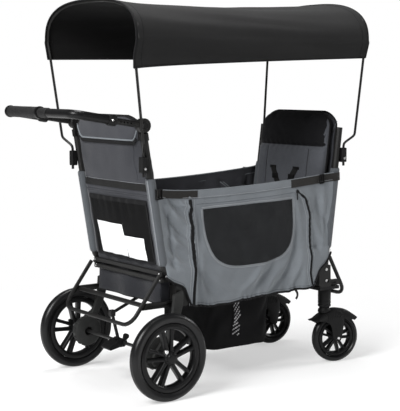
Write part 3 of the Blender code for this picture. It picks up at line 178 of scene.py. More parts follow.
def camera():
    back = Vector((sin(AZIMUTH) * cos(ELEVATION), -cos(AZIMUTH) * cos(ELEVATION), sin(ELEVATION)))
    data = bpy.data.cameras.new("camera")
    data.sensor_width = SENSOR_MM
    data.lens = FOCUS_PX * SENSOR_MM / PHOTO_SIDE_PX
    data.clip_end = 60.0
    cam = linked("camera", data)
    cam.location = P(*CAMERA_AT)
    cam.rotation_mode = "QUATERNION"
    turn = (-back).to_track_quat("-Z", "Y").to_matrix() @ Matrix.Rotation(ROLL, 3, "Z")
    cam.rotation_quaternion = turn.to_quaternion()
    bpy.context.scene.camera = cam


# Materials. Patterns use object coordinates, which are the frame's own metres.

class Nodes:
    """A small helper that adds and links shader nodes of one material."""

    def __init__(self, name):
        self.mat = bpy.data.materials.new(name)
        self.mat.use_nodes = True
        self.tree = self.mat.node_tree
        self.shader = self.tree.nodes["Principled BSDF"]
        self.coord = self.tree.nodes.new("ShaderNodeTexCoord")

    def add(self, kind, **values):
        node = self.tree.nodes.new(kind)
        for key, value in values.items():
            if hasattr(node, key):
                setattr(node, key, value)
            else:
                node.inputs[key.replace("_", " ")].default_value = value
        return node

    def link(self, source, target):
        self.tree.links.new(source, target)

    def set(self, **values):
        for key, value in values.items():
            self.shader.inputs[key.replace("_", " ")].default_value = value

    def noise(self, scale, detail=3.0, rough=0.55, stretch=None):
        tex = self.add("ShaderNodeTexNoise")
        tex.inputs["Scale"].default_value = scale
        tex.inputs["Detail"].default_value = detail
        tex.inputs["Roughness"].default_value = rough
        source = self.coord.outputs["Object"]
        if stretch:
            mapping = self.add("ShaderNodeMapping")
            mapping.inputs["Scale"].default_value = stretch
            self.link(source, mapping.inputs["Vector"])
            source = mapping.outputs["Vector"]
        self.link(source, tex.inputs["Vector"])
        return tex.outputs["Fac"]

    def math(self, operation, a, b=None):
        node = self.add("ShaderNodeMath", operation=operation)
        for slot, value in ((0, a), (1, b)):
            if value is None:
                continue
            if isinstance(value, (int, float)):
                node.inputs[slot].default_value = value
            else:
                self.link(value, node.inputs[slot])
        return node.outputs[0]

    def weighted(self, *terms):
        """The sum of all sources, each times its weight."""
        total = None
        for source, weight in terms:
            part = self.math("MULTIPLY", source, weight)
            total = self.math("ADD", total, part) if total else part
        return total

    def wave(self, source, pitch):
        return self.math("SINE", self.math("MULTIPLY", source, 2 * pi / pitch))

    def remap(self, source, low, high, out_low, out_high):
        node = self.add("ShaderNodeMapRange")
        for key, value in (("From Min", low), ("From Max", high), ("To Min", out_low), ("To Max", out_high)):
            node.inputs[key].default_value = value
        self.link(source, node.inputs["Value"])
        return node.outputs["Result"]

    def ramp(self, source, colours):
        node = self.add("ShaderNodeValToRGB")
        ramp = node.color_ramp
        while len(ramp.elements) < len(colours):
            ramp.elements.new(0.5)
        for element, (place, colour) in zip(ramp.elements, colours):
            element.position = place
            element.color = (*colour, 1.0)
        self.link(source, node.inputs["Fac"])
        self.link(node.outputs["Color"], self.shader.inputs["Base Color"])

    def shades(self, source, colour, places, dark, light):
        """One colour as the base, from a darker shade of it to a lighter one."""
        self.ramp(source, list(zip(places, (shade(colour, dark), colour, shade(colour, light)))))

    def roughness(self, source, low, high, smooth, rough):
        self.link(self.remap(source, low, high, smooth, rough), self.shader.inputs["Roughness"])

    def bump(self, source, strength, distance, below=None):
        node = self.add("ShaderNodeBump")
        node.inputs["Strength"].default_value = strength
        node.inputs["Distance"].default_value = distance
        self.link(source, node.inputs["Height"])
        if below is not None:
            self.link(below, node.inputs["Normal"])
        self.link(node.outputs["Normal"], self.shader.inputs["Normal"])
        return node.outputs["Normal"]

    def position(self):
        """The frame's coordinates, as three outputs."""
        split = self.add("ShaderNodeSeparateXYZ")
        self.link(self.coord.outputs["Object"], split.inputs["Vector"])
        return tuple(split.outputs)

    def threads(self, pitch):
        """Warp and weft height of a plain weave, from the frame's coordinates."""
        x, y, z = self.position()
        warp = self.wave(self.math("ADD", x, self.math("MULTIPLY", z, 0.7)), pitch)
        return self.math("MULTIPLY", warp, self.wave(self.math("ADD", y, z), pitch))


def shade(colour, factor):
    return tuple(min(1.0, c * factor) for c in colour)


def woven(name, colour, pitch=0.0014, contrast=0.22, weave=0.35, wrinkle=0.25, rough=0.85, sheen=0.15):
    n = Nodes(name)
    threads = n.threads(pitch)
    heather = n.noise(420, 2.0, 0.7)
    slubs = n.noise(1.0, 2.0, 0.6, (90, 700, 700))
    broad = n.noise(9, 3.0, 0.6)
    tone = n.weighted((heather, 0.5), (slubs, 0.2), (broad, 0.3), (threads, 0.06))
    n.shades(tone, colour, (0.28, 0.50, 0.72), 1 - contrast, 1 + contrast)
    creases = n.bump(n.noise(38, 4.0, 0.62), wrinkle, 0.0025)
    n.bump(threads, weave, 0.0002, creases)
    n.roughness(heather, 0.3, 0.7, rough - 0.06, rough + 0.06)
    n.set(Sheen_Weight=sheen, Sheen_Roughness=0.5, Specular_IOR_Level=0.10)
    return n.mat


def net(name, colour, pitch=0.0022, alpha=0.86):
    n = Nodes(name)
    threads = n.threads(pitch)
    broad = n.noise(14, 3.0, 0.6)
    n.shades(n.weighted((broad, 0.7), (threads, 0.15)), colour, (0.2, 0.5, 0.8), 0.7, 1.4)
    n.link(n.remap(threads, 0.55, 0.75, 1.0, 2 * alpha - 1), n.shader.inputs["Alpha"])
    n.bump(threads, 0.5, 0.0003)
    n.set(Roughness=0.7, Specular_IOR_Level=0.12)
    return n.mat


def ribbed(name, colour, pitch=0.0016):
    """Webbing: fine ribs, with the groove between them painted darker as painted shade."""
    n = Nodes(name)
    x, y, z = n.position()
    slant = n.math("ADD", n.math("ADD", x, y), z)
    height = n.weighted((n.wave(z, pitch), 0.5), (n.wave(slant, pitch * 0.8), 0.35))
    # The rib height darkens the colour in the grooves: painted shade.
    tone = n.weighted((n.noise(300, 2.0, 0.6), 0.7), (height, 0.12))
    n.shades(tone, colour, (0.15, 0.35, 0.60), 0.7, 1.5)
    n.bump(height, 0.5, 0.0003)
    n.set(Roughness=0.66, Specular_IOR_Level=0.16, Sheen_Weight=0.03)
    return n.mat


def coated_metal(name, colour, rough=0.40):
    n = Nodes(name)
    peel = n.noise(900, 2.0, 0.5)
    wear = n.noise(25, 4.0, 0.65)
    n.shades(wear, colour, (0.30, 0.55, 0.80), 0.85, 1.35)
    n.roughness(wear, 0.2, 0.8, rough - 0.08, rough + 0.12)
    n.bump(peel, 0.18, 0.0003)
    n.set(Specular_IOR_Level=0.22, Coat_Weight=0.03, Coat_Roughness=0.35)
    return n.mat


def moulded(name, colour, rough=0.5, grain=1400, bump=0.25):
    n = Nodes(name)
    fine = n.noise(grain, 2.0, 0.5)
    broad = n.noise(30, 3.0, 0.6)
    n.shades(broad, colour, (0.25, 0.55, 0.85), 0.85, 1.3)
    n.roughness(fine, 0.3, 0.7, rough - 0.08, rough + 0.10)
    n.bump(fine, bump, 0.0002)
    n.set(Specular_IOR_Level=0.16)
    return n.mat


def foam_tyre(name, colour):
    n = Nodes(name)
    cells = n.noise(650, 3.0, 0.7)
    dust = n.noise(18, 4.0, 0.6)
    n.shades(dust, colour, (0.25, 0.55, 0.85), 0.8, 1.5)
    n.roughness(cells, 0.3, 0.7, 0.27, 0.40)
    n.bump(cells, 0.15, 0.0003)
    n.set(Specular_IOR_Level=0.26)
    return n.mat


def bright_metal(name, colour, rough=0.28):
    n = Nodes(name)
    brush = n.noise(1.0, 3.0, 0.6, (300, 2500, 2500))
    stain = n.noise(60, 3.0, 0.6)
    n.shades(stain, colour, (0.2, 0.5, 0.8), 0.8, 1.15)
    n.roughness(brush, 0.3, 0.7, rough - 0.08, rough + 0.12)
    n.bump(brush, 0.12, 0.0002)
    n.set(Metallic=1.0)
    return n.mat


def grained_leather(name, colour, scale=420, bump=0.6):
    n = Nodes(name)
    cells = n.add("ShaderNodeTexVoronoi")
    cells.inputs["Scale"].default_value = scale
    n.link(n.coord.outputs["Object"], cells.inputs["Vector"])
    n.shades(n.noise(50, 3.0, 0.6), colour, (0.25, 0.55, 0.85), 0.75, 1.5)
    n.roughness(cells.outputs["Distance"], 0.0, 0.6, 0.50, 0.68)
    n.bump(cells.outputs["Distance"], bump, 0.0006)
    n.set(Specular_IOR_Level=0.2)
    return n.mat


def reflective(name):
    """Silver reflective tape with fine slanting facets."""
    n = Nodes(name)
    x, y, z = n.position()
    bands = n.wave(n.math("ADD", n.math("ADD", x, y), z), 0.011)
    tone = n.weighted((bands, 0.22), (n.noise(55, 3.0, 0.6), 1.0))
    n.ramp(tone, [(0.30, (0.06, 0.06, 0.06)), (0.50, (0.20, 0.20, 0.205)), (0.74, (0.42, 0.42, 0.43))])
    n.bump(bands, 0.3, 0.0008)
    n.set(Metallic=0.4, Roughness=0.35)
    return n.mat


MATS = {}


def make_materials():
    MATS.update({
        "grey": woven("cloth_grey", (0.152, 0.166, 0.180), wrinkle=0.45, contrast=0.16),
        # The sleeves wear the wall's grey cloth painted darker: painted shade, as if they stood in shadow.
        "grey_sleeve": woven("cloth_grey_sleeve", (0.078, 0.085, 0.093), wrinkle=0.35, contrast=0.16),
        "grey_light": woven("cloth_grey_binding", (0.165, 0.177, 0.189), wrinkle=0.10, contrast=0.12),
        "grey_dark": woven("cloth_dark_grey", (0.031, 0.0325, 0.0385), contrast=0.16),
        "skirt": woven("cloth_skirt", (0.0145, 0.0152, 0.0187), contrast=0.2),
        "lining": woven("cloth_lining", (0.046, 0.047, 0.054), wrinkle=0.45),
        "seat": woven("cloth_seat", (0.071, 0.075, 0.085), contrast=0.3, wrinkle=0.2),
        "black": woven("cloth_black", (0.0060, 0.0060, 0.0064), pitch=0.0011, contrast=0.3, sheen=0.02),
        "canopy": woven("cloth_canopy", (0.0145, 0.0145, 0.0147), pitch=0.0010, contrast=0.15, wrinkle=0.12,
                        sheen=0.03),
        # The canopy's inner face is a darker copy of its cloth: painted shade under the hood.
        "canopy_inner_painted_shade": woven("cloth_canopy_inside", (0.0045, 0.0045, 0.0046), pitch=0.0010, contrast=0.2,
                           sheen=0.01),
        "head": woven("cloth_headrest", (0.0080, 0.0080, 0.0090), pitch=0.0016, contrast=0.3, sheen=0.02),
        "piping": woven("cloth_piping", (0.0080, 0.0080, 0.0086), pitch=0.0009, contrast=0.2, wrinkle=0.05,
                        sheen=0.03),
        "net": net("net_window", (0.0170, 0.0180, 0.0195)),
        "pocket": net("net_pocket", (0.0016, 0.0016, 0.0019), alpha=0.985),
        "webbing": ribbed("webbing", (0.0160, 0.0150, 0.0140)),
        "webbing_black": ribbed("webbing_black", (0.0085, 0.0085, 0.0085)),
        "tube": coated_metal("powder_coat", (0.0085, 0.0083, 0.0081)),
        "plastic": moulded("moulded_black", (0.0062, 0.0062, 0.0064)),
        # A lighter copy of the black moulding for the rear legs: painted light, where the legs catch the lamp.
        "plastic_grey": moulded("moulded_black_painted_light", (0.024, 0.0245, 0.024)),
        "plastic_gloss": moulded("moulded_gloss", (0.0055, 0.0055, 0.0058), rough=0.30, bump=0.1),
        "tyre": foam_tyre("foam_tyre", (0.0050, 0.0050, 0.0054)),
        "silver": bright_metal("zinc", (0.62, 0.62, 0.62)),
        "steel_dark": bright_metal("dark_steel", (0.12, 0.12, 0.12), 0.38),
        "label": woven("label_satin", (0.86, 0.87, 0.89), pitch=0.0008, contrast=0.04, weave=0.15, wrinkle=0.2,
                       rough=0.55, sheen=0.0),
        "stitch": woven("stitching", (0.30, 0.31, 0.33), pitch=0.0006, contrast=0.2, wrinkle=0.0),
        "leather": grained_leather("grip_leather", (0.0120, 0.0120, 0.0123)),
        "leather_plain": grained_leather("grip_plain", (0.0105, 0.0105, 0.0108), 700, 0.25),
        "reflective": reflective("reflective_tape"),
    })


# Making pieces

# Each slot with the materials that its pieces wear. The first is also the solids' own look.
SLOT_MATS = {
    "tube": ("tube",), "tyre": ("tyre",), "silver": ("silver",), "white_label": ("label",),
    "black_plastic": ("plastic", "plastic_gloss", "plastic_grey"), "leather": ("leather", "leather_plain"),
    "grey_cloth": ("grey", "grey_sleeve", "grey_light", "lining", "seat", "head", "stitch"),
    "dark_grey_cloth": ("grey_dark", "skirt"), "black_webbing": ("webbing", "webbing_black"),
    "black_cloth": ("black", "canopy", "piping", "pocket", "reflective"),
}


def piece(name, bm, mats, body, smooth=40):
    """A finished piece that rides a body, with the given materials."""
    mats = [mats] if isinstance(mats, str) else mats
    mesh = bpy.data.meshes.new(name)
    bmesh.ops.recalc_face_normals(bm, faces=bm.faces)
    bm.to_mesh(mesh)
    bm.free()
    obj = linked(name, mesh)
    for mat in mats:
        mesh.materials.append(MATS[mat])
    mesh.shade_smooth()
    mesh.set_sharp_from_angle(angle=radians(smooth))
    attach(obj, body)
    return obj


def from_grid(rows, closed=False, looped=False, capped=False):
    """Quads through rows of points. Closed joins the ends of each row, looped the last row to the first one, and
    capped fills these two rows."""
    bm = bmesh.new()
    grid = [[bm.verts.new(p) for p in row] for row in rows]
    size = len(grid[0])
    columns = [(k, k + 1) for k in range(size - 1)] + ([(size - 1, 0)] if closed else [])
    for low, high in list(zip(grid, grid[1:])) + ([(grid[-1], grid[0])] if looped else []):
        for a, b in columns:
            bm.faces.new((low[a], low[b], high[b], high[a]))
    if capped:
        bm.faces.new(grid[0][::-1])
        bm.faces.new(grid[-1])
    return bm


def apply_modifiers(obj):
    graph = bpy.context.evaluated_depsgraph_get()
    mesh = bpy.data.meshes.new_from_object(obj.evaluated_get(graph))
    obj.modifiers.clear()
    old = obj.data
    obj.data = mesh
    bpy.data.meshes.remove(old)
    return obj


def thicken(obj, thickness, offset=0.0, inner=0):
    """Give a sheet its thickness. Its inner face takes the material that stands inner places on."""
    shell = obj.modifiers.new("thickness", "SOLIDIFY")
    shell.thickness = thickness
    shell.offset = offset
    shell.material_offset = inner
    return apply_modifiers(obj)


def puffed(bm, cap, held, voxel=0.006, pressure=4.0):
    """A padded shape swelled by cloth simulation. Points that held() names stay, the others move up to the cap."""
    mesh = bpy.data.meshes.new("soft_start")
    bmesh.ops.recalc_face_normals(bm, faces=bm.faces)
    bm.to_mesh(mesh)
    bm.free()
    scene = bpy.context.scene
    soft = linked("soft_start", mesh)
    remesh = soft.modifiers.new("remesh", "REMESH")
    remesh.mode = "VOXEL"
    remesh.voxel_size = voxel
    apply_modifiers(soft)
    start = [v.co.copy() for v in soft.data.vertices]
    group = soft.vertex_groups.new(name="held")
    group.add([i for i, co in enumerate(start) if held(co)], 1.0, "REPLACE")
    cloth = soft.modifiers.new("cloth", "CLOTH")
    cloth.point_cache.frame_start = 1
    cloth.point_cache.frame_end = PUFF_FRAMES
    cloth.settings.quality = 5
    cloth.settings.use_pressure = True
    cloth.settings.uniform_pressure_force = pressure
    cloth.settings.effector_weights.gravity = 0.0
    cloth.settings.vertex_group_mass = "held"
    cloth.collision_settings.use_collision = False
    for number in range(1, PUFF_FRAMES + 1):
        scene.frame_set(number)
    swelled = soft.evaluated_get(bpy.context.evaluated_depsgraph_get())
    ends = [v.co.copy() for v in swelled.to_mesh().vertices]
    swelled.to_mesh_clear()
    soft.modifiers.remove(cloth)
    for vertex, before, after in zip(soft.data.vertices, start, ends):
        shift = after - before
        if shift.length > cap:
            shift *= cap / shift.length
        vertex.co = before + shift
    scene.frame_set(1)
    finer = soft.modifiers.new("finer", "SUBSURF")
    finer.levels = 1
    finer.render_levels = 1
    apply_modifiers(soft)
    result = bmesh.new()
    result.from_mesh(soft.data)
    old = soft.data
    bpy.data.objects.remove(soft)
    bpy.data.meshes.remove(old)
    return result


def surface_of(obj):
    """A search tree over a finished piece, in the frame's metres."""
    points = [obj.matrix_world @ v.co for v in obj.data.vertices]
    return BVHTree.FromPolygons(points, [tuple(face.vertices) for face in obj.data.polygons])


def frames_along(points, closed=False):
    """Each point with its tangent and a steady side vector."""
    points = [Vector(p) for p in points]
    count = len(points)
    tangents = []
    for i in range(count):
        before = points[i - 1] if i or closed else points[i]
        after = points[(i + 1) % count] if i < count - 1 or closed else points[i]
        tangents.append((after - before).normalized())
    side = tangents[0].orthogonal().normalized()
    sides = []
    for tangent in tangents:
        side = (side - tangent * side.dot(tangent)).normalized()
        sides.append(side)
    return zip(points, tangents, sides)


def rod(points, radius, sides=12, closed=False, squeeze=1.0):
    """A tube with flat ends along the points, or a closed one."""
    rings = []
    for point, tangent, side in frames_along(points, closed):
        other = tangent.cross(side) * squeeze
        rings.append([point + side * radius * c + other * radius * s for c, s in round_square(sides)])
    return from_grid(rings, closed=True, looped=closed, capped=not closed)


def ribbon(points, outward, width, thickness, across=3, crown=0.0):
    """A flat strap along the points, with its face toward outward."""
    points = [Vector(p) for p in points]
    count = len(points)
    rings = []
    for i, point in enumerate(points):
        before, after = points[max(0, i - 1)], points[min(count - 1, i + 1)]
        tangent = (after - before).normalized()
        out = Vector(outward).normalized()
        out = (out - tangent * out.dot(tangent)).normalized()
        side = tangent.cross(out)
        front, back = [], []
        for t in spread(-1, 1, across - 1):
            lift = crown * (1 - t * t)
            front.append(point + side * (t * width / 2) + out * (thickness / 2 + lift))
            back.append(point + side * (t * width / 2) + out * (lift - thickness / 2))
        rings.append(front + back[::-1])
    return from_grid(rings, closed=True, capped=True)


def block(size, bevel, segments=3):
    bm = bmesh.new()
    bmesh.ops.create_cube(bm, size=1.0)
    bmesh.ops.scale(bm, vec=size, verts=bm.verts)
    bmesh.ops.bevel(bm, geom=bm.edges, offset=bevel, segments=segments, affect="EDGES", profile=0.5)
    return bm


def moved(bm, matrix):
    bmesh.ops.transform(bm, matrix=matrix, verts=bm.verts)
    return bm


def place(bm, location, rotation=Matrix()):
    return moved(bm, Matrix.Translation(location) @ rotation.to_4x4())


def half_turn(bm, sign):
    """Face the other way where the sign is negative."""
    return moved(bm, Matrix.Rotation(pi, 4, "Z")) if sign < 0 else bm


def merged(*meshes):
    """One bmesh that holds all of the given ones."""
    whole = bmesh.new()
    for bm in meshes:
        part = bpy.data.meshes.new("part")
        bm.to_mesh(part)
        bm.free()
        whole.from_mesh(part)
        bpy.data.meshes.remove(part)
    return whole


def lathe(profile, steps, axis="X", closed=False):
    """A profile of (radius, distance) pairs turned about an axis through the origin."""
    rows = [[Vector((d, r * c, r * s)) for r, d in profile] for c, s in round_square(steps)]
    bm = from_grid(rows, closed, looped=True)
    bmesh.ops.remove_doubles(bm, verts=bm.verts, dist=0.000005)
    if axis == "Y":
        moved(bm, Matrix.Rotation(pi / 2, 4, "Z"))
    if axis == "Z":
        moved(bm, Matrix.Rotation(-pi / 2, 4, "Y"))
    return bm


# Canopy: one curved cloth from hoop to hoop, with bound edges

CANOPY_SAG = 0.020
CANOPY_RISE = 0.0052
CANOPY_FLAP = 0.12
WALL_BULGE = 0.006


def rod_x(z):
    share = max(0.0, (z - HOOP_LEG_Z) / (HOOP_SHOULDER_Z - HOOP_LEG_Z))
    return HOOP_X + (HOOP_BULGE_X - HOOP_X) * share


def canopy_point(u, v):
    """A place on the canopy: u runs from the rear edge to the front, v from the right edge to the left."""
    y = HOOP_REAR_Y - 0.008 + (HOOP_FRONT_Y - HOOP_REAR_Y + 0.012) * u
    t = clamp((y - HOOP_REAR_Y) / (HOOP_FRONT_Y - HOOP_REAR_Y))
    sag = CANOPY_SAG * (4 * t * (1 - t)) ** 0.75
    peak = REAR_PEAK_Z + (FRONT_PEAK_Z - REAR_PEAK_Z) * t
    low_right = 1.081 + 0.040 * t ** 0.7
    low_left = 1.116 + 0.009 * t
    if v < CANOPY_FLAP or v > 1 - CANOPY_FLAP:
        right = v < CANOPY_FLAP
        low = low_right if right else low_left
        share = (v if right else 1 - v) / CANOPY_FLAP
        z = low + (HOOP_SHOULDER_Z - low) * share
        x = rod_x(z) - 0.35 * sag * max(0.0, share) + CANOPY_RISE
        point = Vector((x if right else -x, y, z))
        normal = Vector((1 if right else -1, 0, 0))
    else:
        a = pi * (v - CANOPY_FLAP) / (1 - 2 * CANOPY_FLAP)
        c, s = cos(a), sin(a)
        crown = abs(s) ** (2 / HOOP_POWER)
        side = squared(c, 2 / HOOP_POWER)
        normal = Vector((side * abs(side), 0, max(crown, 0.02))).normalized()
        x = (HOOP_BULGE_X - 0.003 - sag * 0.35) * side
        z = HOOP_SHOULDER_Z + (peak - HOOP_SHOULDER_Z) * crown - sag * crown
        point = Vector((x, y, z)) + normal * CANOPY_RISE
    hold = sin(pi * t) ** 0.5 if 0 < t < 1 else 0.0
    ripple = 0.0034 * sin(34 * v + 5.0 * t + 2.2 * sin(3.1 * t + 1))
    ripple *= 0.25 + 0.75 * smooth_step(0.45, 0.95, t)
    long_fold = 0.0050 * bumpy(v * 15 + 2.0 * t, t * 1.6, 0.4)
    drag = 0.0030 * bumpy(v * 4 + t * 3, t * 5 - v * 2, 7.7)
    return P(*(point + normal * (ripple + long_fold + drag) * hold))


def canopy():
    rows = [[canopy_point(u, v) for v in spread(0, 1, 96)] for u in spread(0, 1, 110)]
    obj = piece("canopy_cloth", from_grid(rows), ["canopy", "canopy_inner_painted_shade"], "rear_end")
    # The inner face takes the darker copy of the cloth, as painted shade.
    thicken(obj, 0.0011, inner=1)
    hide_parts("canopy")
    steps = spread(0, 1, 120)
    loops = {"rear": [canopy_point(0.0, v) for v in steps], "front": [canopy_point(1.0, v) for v in steps],
             "right": [canopy_point(u, 0.0) for u in steps], "left": [canopy_point(u, 1.0) for u in steps]}
    edges = [piece(f"canopy_binding_{word}", rod(points, 0.0026, 8, squeeze=0.9), "piping", "rear_end")
             for word, points in loops.items()]
    for word, u in (("rear", 0.028), ("front", 0.972)):
        points = []
        for v in spread(0, 1, 200):
            at = canopy_point(u, v)
            centre = P(0, at.y + AXLE_TO_ORIGIN, 1.10)
            points.append(at + (at - centre).normalized() * 0.0006)
        edges.append(piece(f"canopy_seam_{word}", rod(points, 0.0007, 6), "piping", "rear_end"))
    for item in [obj] + edges:
        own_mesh(item)


# Side walls: grey cloth between the uprights, with a rim band, net window, zips and webbing

LOW_EDGE = ((0.000, 0.420), (0.020, 0.410), (0.037, 0.394), (0.055, 0.381), (0.082, 0.367), (0.108, 0.353),
            (0.121, 0.325), (0.131, 0.297), (0.165, 0.284), (0.209, 0.277), (0.275, 0.275), (0.352, 0.281),
            (0.460, 0.288), (0.582, 0.291), (0.675, 0.299), (0.688, 0.316), (0.695, 0.340), (0.708, 0.360),
            (0.735, 0.383), (0.750, 0.401), (0.761, 0.424), (0.775, 0.436))
ZIP_REAR = ((0.140, 0.646), (0.139, 0.600), (0.150, 0.514), (0.157, 0.438), (0.153, 0.363), (0.147, 0.291))
ZIP_FRONT = ((0.606, 0.652), (0.647, 0.621), (0.667, 0.560), (0.669, 0.500), (0.667, 0.432), (0.660, 0.352),
             (0.672, 0.308))
# Each fold runs from one place (y, z) to another, with its half width and its height out of the cloth
FOLDS = (
    ((0.040, 0.640), (0.130, 0.560), 0.009, 0.0062), ((0.045, 0.605), (0.130, 0.520), 0.009, -0.0068),
    ((0.055, 0.655), (0.120, 0.600), 0.007, -0.0050), ((0.052, 0.545), (0.118, 0.480), 0.010, 0.0058),
    ((0.056, 0.470), (0.145, 0.405), 0.011, 0.0064), ((0.062, 0.440), (0.130, 0.375), 0.009, -0.0066),
    ((0.062, 0.630), (0.072, 0.440), 0.008, -0.0052), ((0.088, 0.425), (0.142, 0.340), 0.009, 0.0056),
    ((0.110, 0.640), (0.140, 0.610), 0.006, 0.0048), ((0.456, 0.400), (0.370, 0.315), 0.013, 0.0050),
    ((0.500, 0.398), (0.415, 0.305), 0.013, -0.0045), ((0.545, 0.385), (0.455, 0.300), 0.014, 0.0045),
    ((0.575, 0.360), (0.490, 0.300), 0.011, -0.0040), ((0.170, 0.400), (0.260, 0.310), 0.015, -0.0045),
    ((0.185, 0.470), (0.200, 0.330), 0.012, 0.0040), ((0.225, 0.395), (0.330, 0.300), 0.014, 0.0035),
    ((0.612, 0.500), (0.560, 0.335), 0.013, -0.0055), ((0.630, 0.430), (0.590, 0.310), 0.011, 0.0050),
    ((0.655, 0.420), (0.630, 0.315), 0.009, -0.0040), ((0.700, 0.630), (0.752, 0.500), 0.013, -0.0045),
    ((0.690, 0.540), (0.742, 0.430), 0.012, 0.0045), ((0.700, 0.440), (0.735, 0.395), 0.009, -0.0045),
    ((0.735, 0.660), (0.722, 0.440), 0.010, 0.0035), ((0.165, 0.610), (0.190, 0.480), 0.010, -0.0035),
    ((0.600, 0.640), (0.630, 0.520), 0.010, 0.0030),
)
BLOCK_CLEAR = 0.0180
WINDOW_TOP_Z = 0.617
WINDOW_H = 0.213
WINDOW_HALF = 0.197
WINDOW_Y = 0.3905
WINDOW_SKEW = 0.094
WINDOW_POWER = 3.2
RIM_BAND_H = 0.027
RIM_LOW_Z = 0.676
RIM_DIP = 0.25


def between(table, x):
    """Straight interpolation in a table of (x, y) pairs."""
    if x <= table[0][0]:
        return table[0][1]
    for (x0, y0), (x1, y1) in zip(table, table[1:]):
        if x <= x1:
            return y0 + (y1 - y0) * (x - x0) / (x1 - x0)
    return table[-1][1]


def along_line(line, z):
    """The y of a line that runs downwards, at the height z."""
    return between([(-pz, py) for py, pz in line], -z)


def rim_z(y):
    """Height of a side wall's upper edge, lowest a quarter of the way along."""
    t = clamp(y / 0.80)
    if t < RIM_DIP:
        return RIM_LOW_Z + 0.012 * ((RIM_DIP - t) / RIM_DIP) ** 2
    return RIM_LOW_Z + 0.033 * ((t - RIM_DIP) / (1 - RIM_DIP)) ** 1.8


def low_z(y):
    """Height of a side wall's lower edge, with its corners softened."""
    return sum(between(LOW_EDGE, y + 0.006 * k) for k in (-1, 0, 1)) / 3 + 0.0016 * sin(75 * y)


def wall_span(z):
    z = max(z, 0.405)
    return rear_y(z) + 0.002, front_y(z) - 0.002


def wall_out(y, z):
    """How far out of the uprights' plane the wall's cloth stands at a place."""
    start, finish = wall_span(z)
    t = clamp((y - start) / (finish - start))
    low, high = low_z(y), rim_z(y)
    v = clamp((z - low) / (high - low))
    hold = min(1.0, 22 * t, 22 * (1 - t))
    free = hold * min(1.0, (1 - v) * 5 + 0.15)
    out = WALL_BULGE * sin(pi * t) * (0.4 + 0.6 * sin(pi * v))
    wrap = hump((y - start) / 0.030) + hump((y - finish) / 0.026)
    out += 0.0118 * wrap
    lumps = 0.0060 * bumpy(y * 9, z * 8, 1.3) + 0.0034 * bumpy(y * 24, z * 20, 4.1)
    out += lumps * free
    for (y0, z0), (y1, z1), width, height in FOLDS:
        dy, dz = y1 - y0, z1 - z0
        length = sqrt(dy * dy + dz * dz)
        share = ((y - y0) * dy + (z - z0) * dz) / (length * length)
        if -0.25 < share < 1.25:
            off = ((y - y0) * dz - (z - z0) * dy) / length
            bend = 0.004 * sin(5 * share + 40 * y0)
            out += 2.1 * height * hump((off + bend) / width) * hump((share - 0.5) / 0.55) * free
    for line, phase in ((ZIP_REAR, 0.0), (ZIP_FRONT, 1.4)):
        gap = (y - along_line(line, z)) / 0.024
        if abs(gap) < 2.2 and z < 0.66:
            out += 0.0006 * hump(gap) * sin(z * 310 + phase + 6 * gap)
            out += 0.0026 * hump(gap * 1.4)
    gather = 0.0030 * sin(165 * y + 6 * sin(31 * y)) * hump((z - low) / 0.020)
    out += gather * hold
    # The lower corners stand clear of the hinge blocks
    corner = smooth_step(0.45, 0.405, z) * (smooth_step(0.185, 0.140, y) + smooth_step(0.600, 0.642, y))
    corner *= smooth_step(0.030, 0.052, y) * smooth_step(0.790, 0.768, y)
    return out + corner * max(0.0, BLOCK_CLEAR + 0.35 * lumps - out)


def on_wall(y, z, out=0.0):
    return Vector((FRAME_X + 0.0005 + wall_out(y, z) + out, y, z))


def window_share(y, z):
    """Below zero inside the net window, above zero outside it."""
    down = WINDOW_TOP_Z + 0.028 * (y - WINDOW_Y) - z
    centre = WINDOW_Y + WINDOW_SKEW * max(0.0, down)
    inside = (abs(y - centre) / WINDOW_HALF) ** WINDOW_POWER + (max(0.0, down) / WINDOW_H) ** WINDOW_POWER - 1
    return max(inside, -down / WINDOW_H)


def window_edge(grow=0.0):
    """Points round the window, from the top left corner down and round to the top right one."""
    points = []
    for a in spread(0, pi, 120):
        c, s = cos(a), sin(a)
        side = -squared(c, 2 / WINDOW_POWER)
        down = WINDOW_H * s ** (2 / WINDOW_POWER)
        y = WINDOW_Y + WINDOW_SKEW * down + (WINDOW_HALF + grow) * side
        z = WINDOW_TOP_Z + 0.028 * (y - WINDOW_Y) - down * (1 + grow / WINDOW_H)
        points.append((y, z))
    (y0, z0), (y1, z1) = points[-1], points[0]
    return points + list(zip(spread(y0, y1, 70), spread(z0 + grow, z1 + grow, 70)))


def flip_side(point, sign):
    return P(point.x * sign, point.y, point.z)


def wall_grid():
    """Places on the wall as (y, z). Those next to the window's edge are moved onto it."""
    across, high = 176, 88
    grid = []
    for i in range(high + 1):
        row = []
        for k in range(across + 1):
            t, v = k / across, i / high
            y = 0.02 + 0.74 * t
            for _ in range(4):
                low, top = low_z(y), rim_z(y)
                z = low + (top - low) * v
                start, finish = wall_span(z)
                y = start + (finish - start) * t
            row.append([y, z])
        grid.append(row)
    done = set()
    for i in range(1, high):
        for k in range(1, across):
            here = window_share(*grid[i][k])
            for di, dk in ((0, 1), (0, -1), (1, 0), (-1, 0)):
                y1, z1 = grid[i + di][k + dk]
                there = window_share(y1, z1)
                if here * there < 0 and abs(here) <= abs(there) and (i, k) not in done:
                    y0, z0 = grid[i][k]
                    share = here / (here - there)
                    done.add((i, k))
                    grid[i][k] = [y0 + (y1 - y0) * share, z0 + (z1 - z0) * share]
    return grid


def squash_wall(items):
    for item in items:
        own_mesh(item)


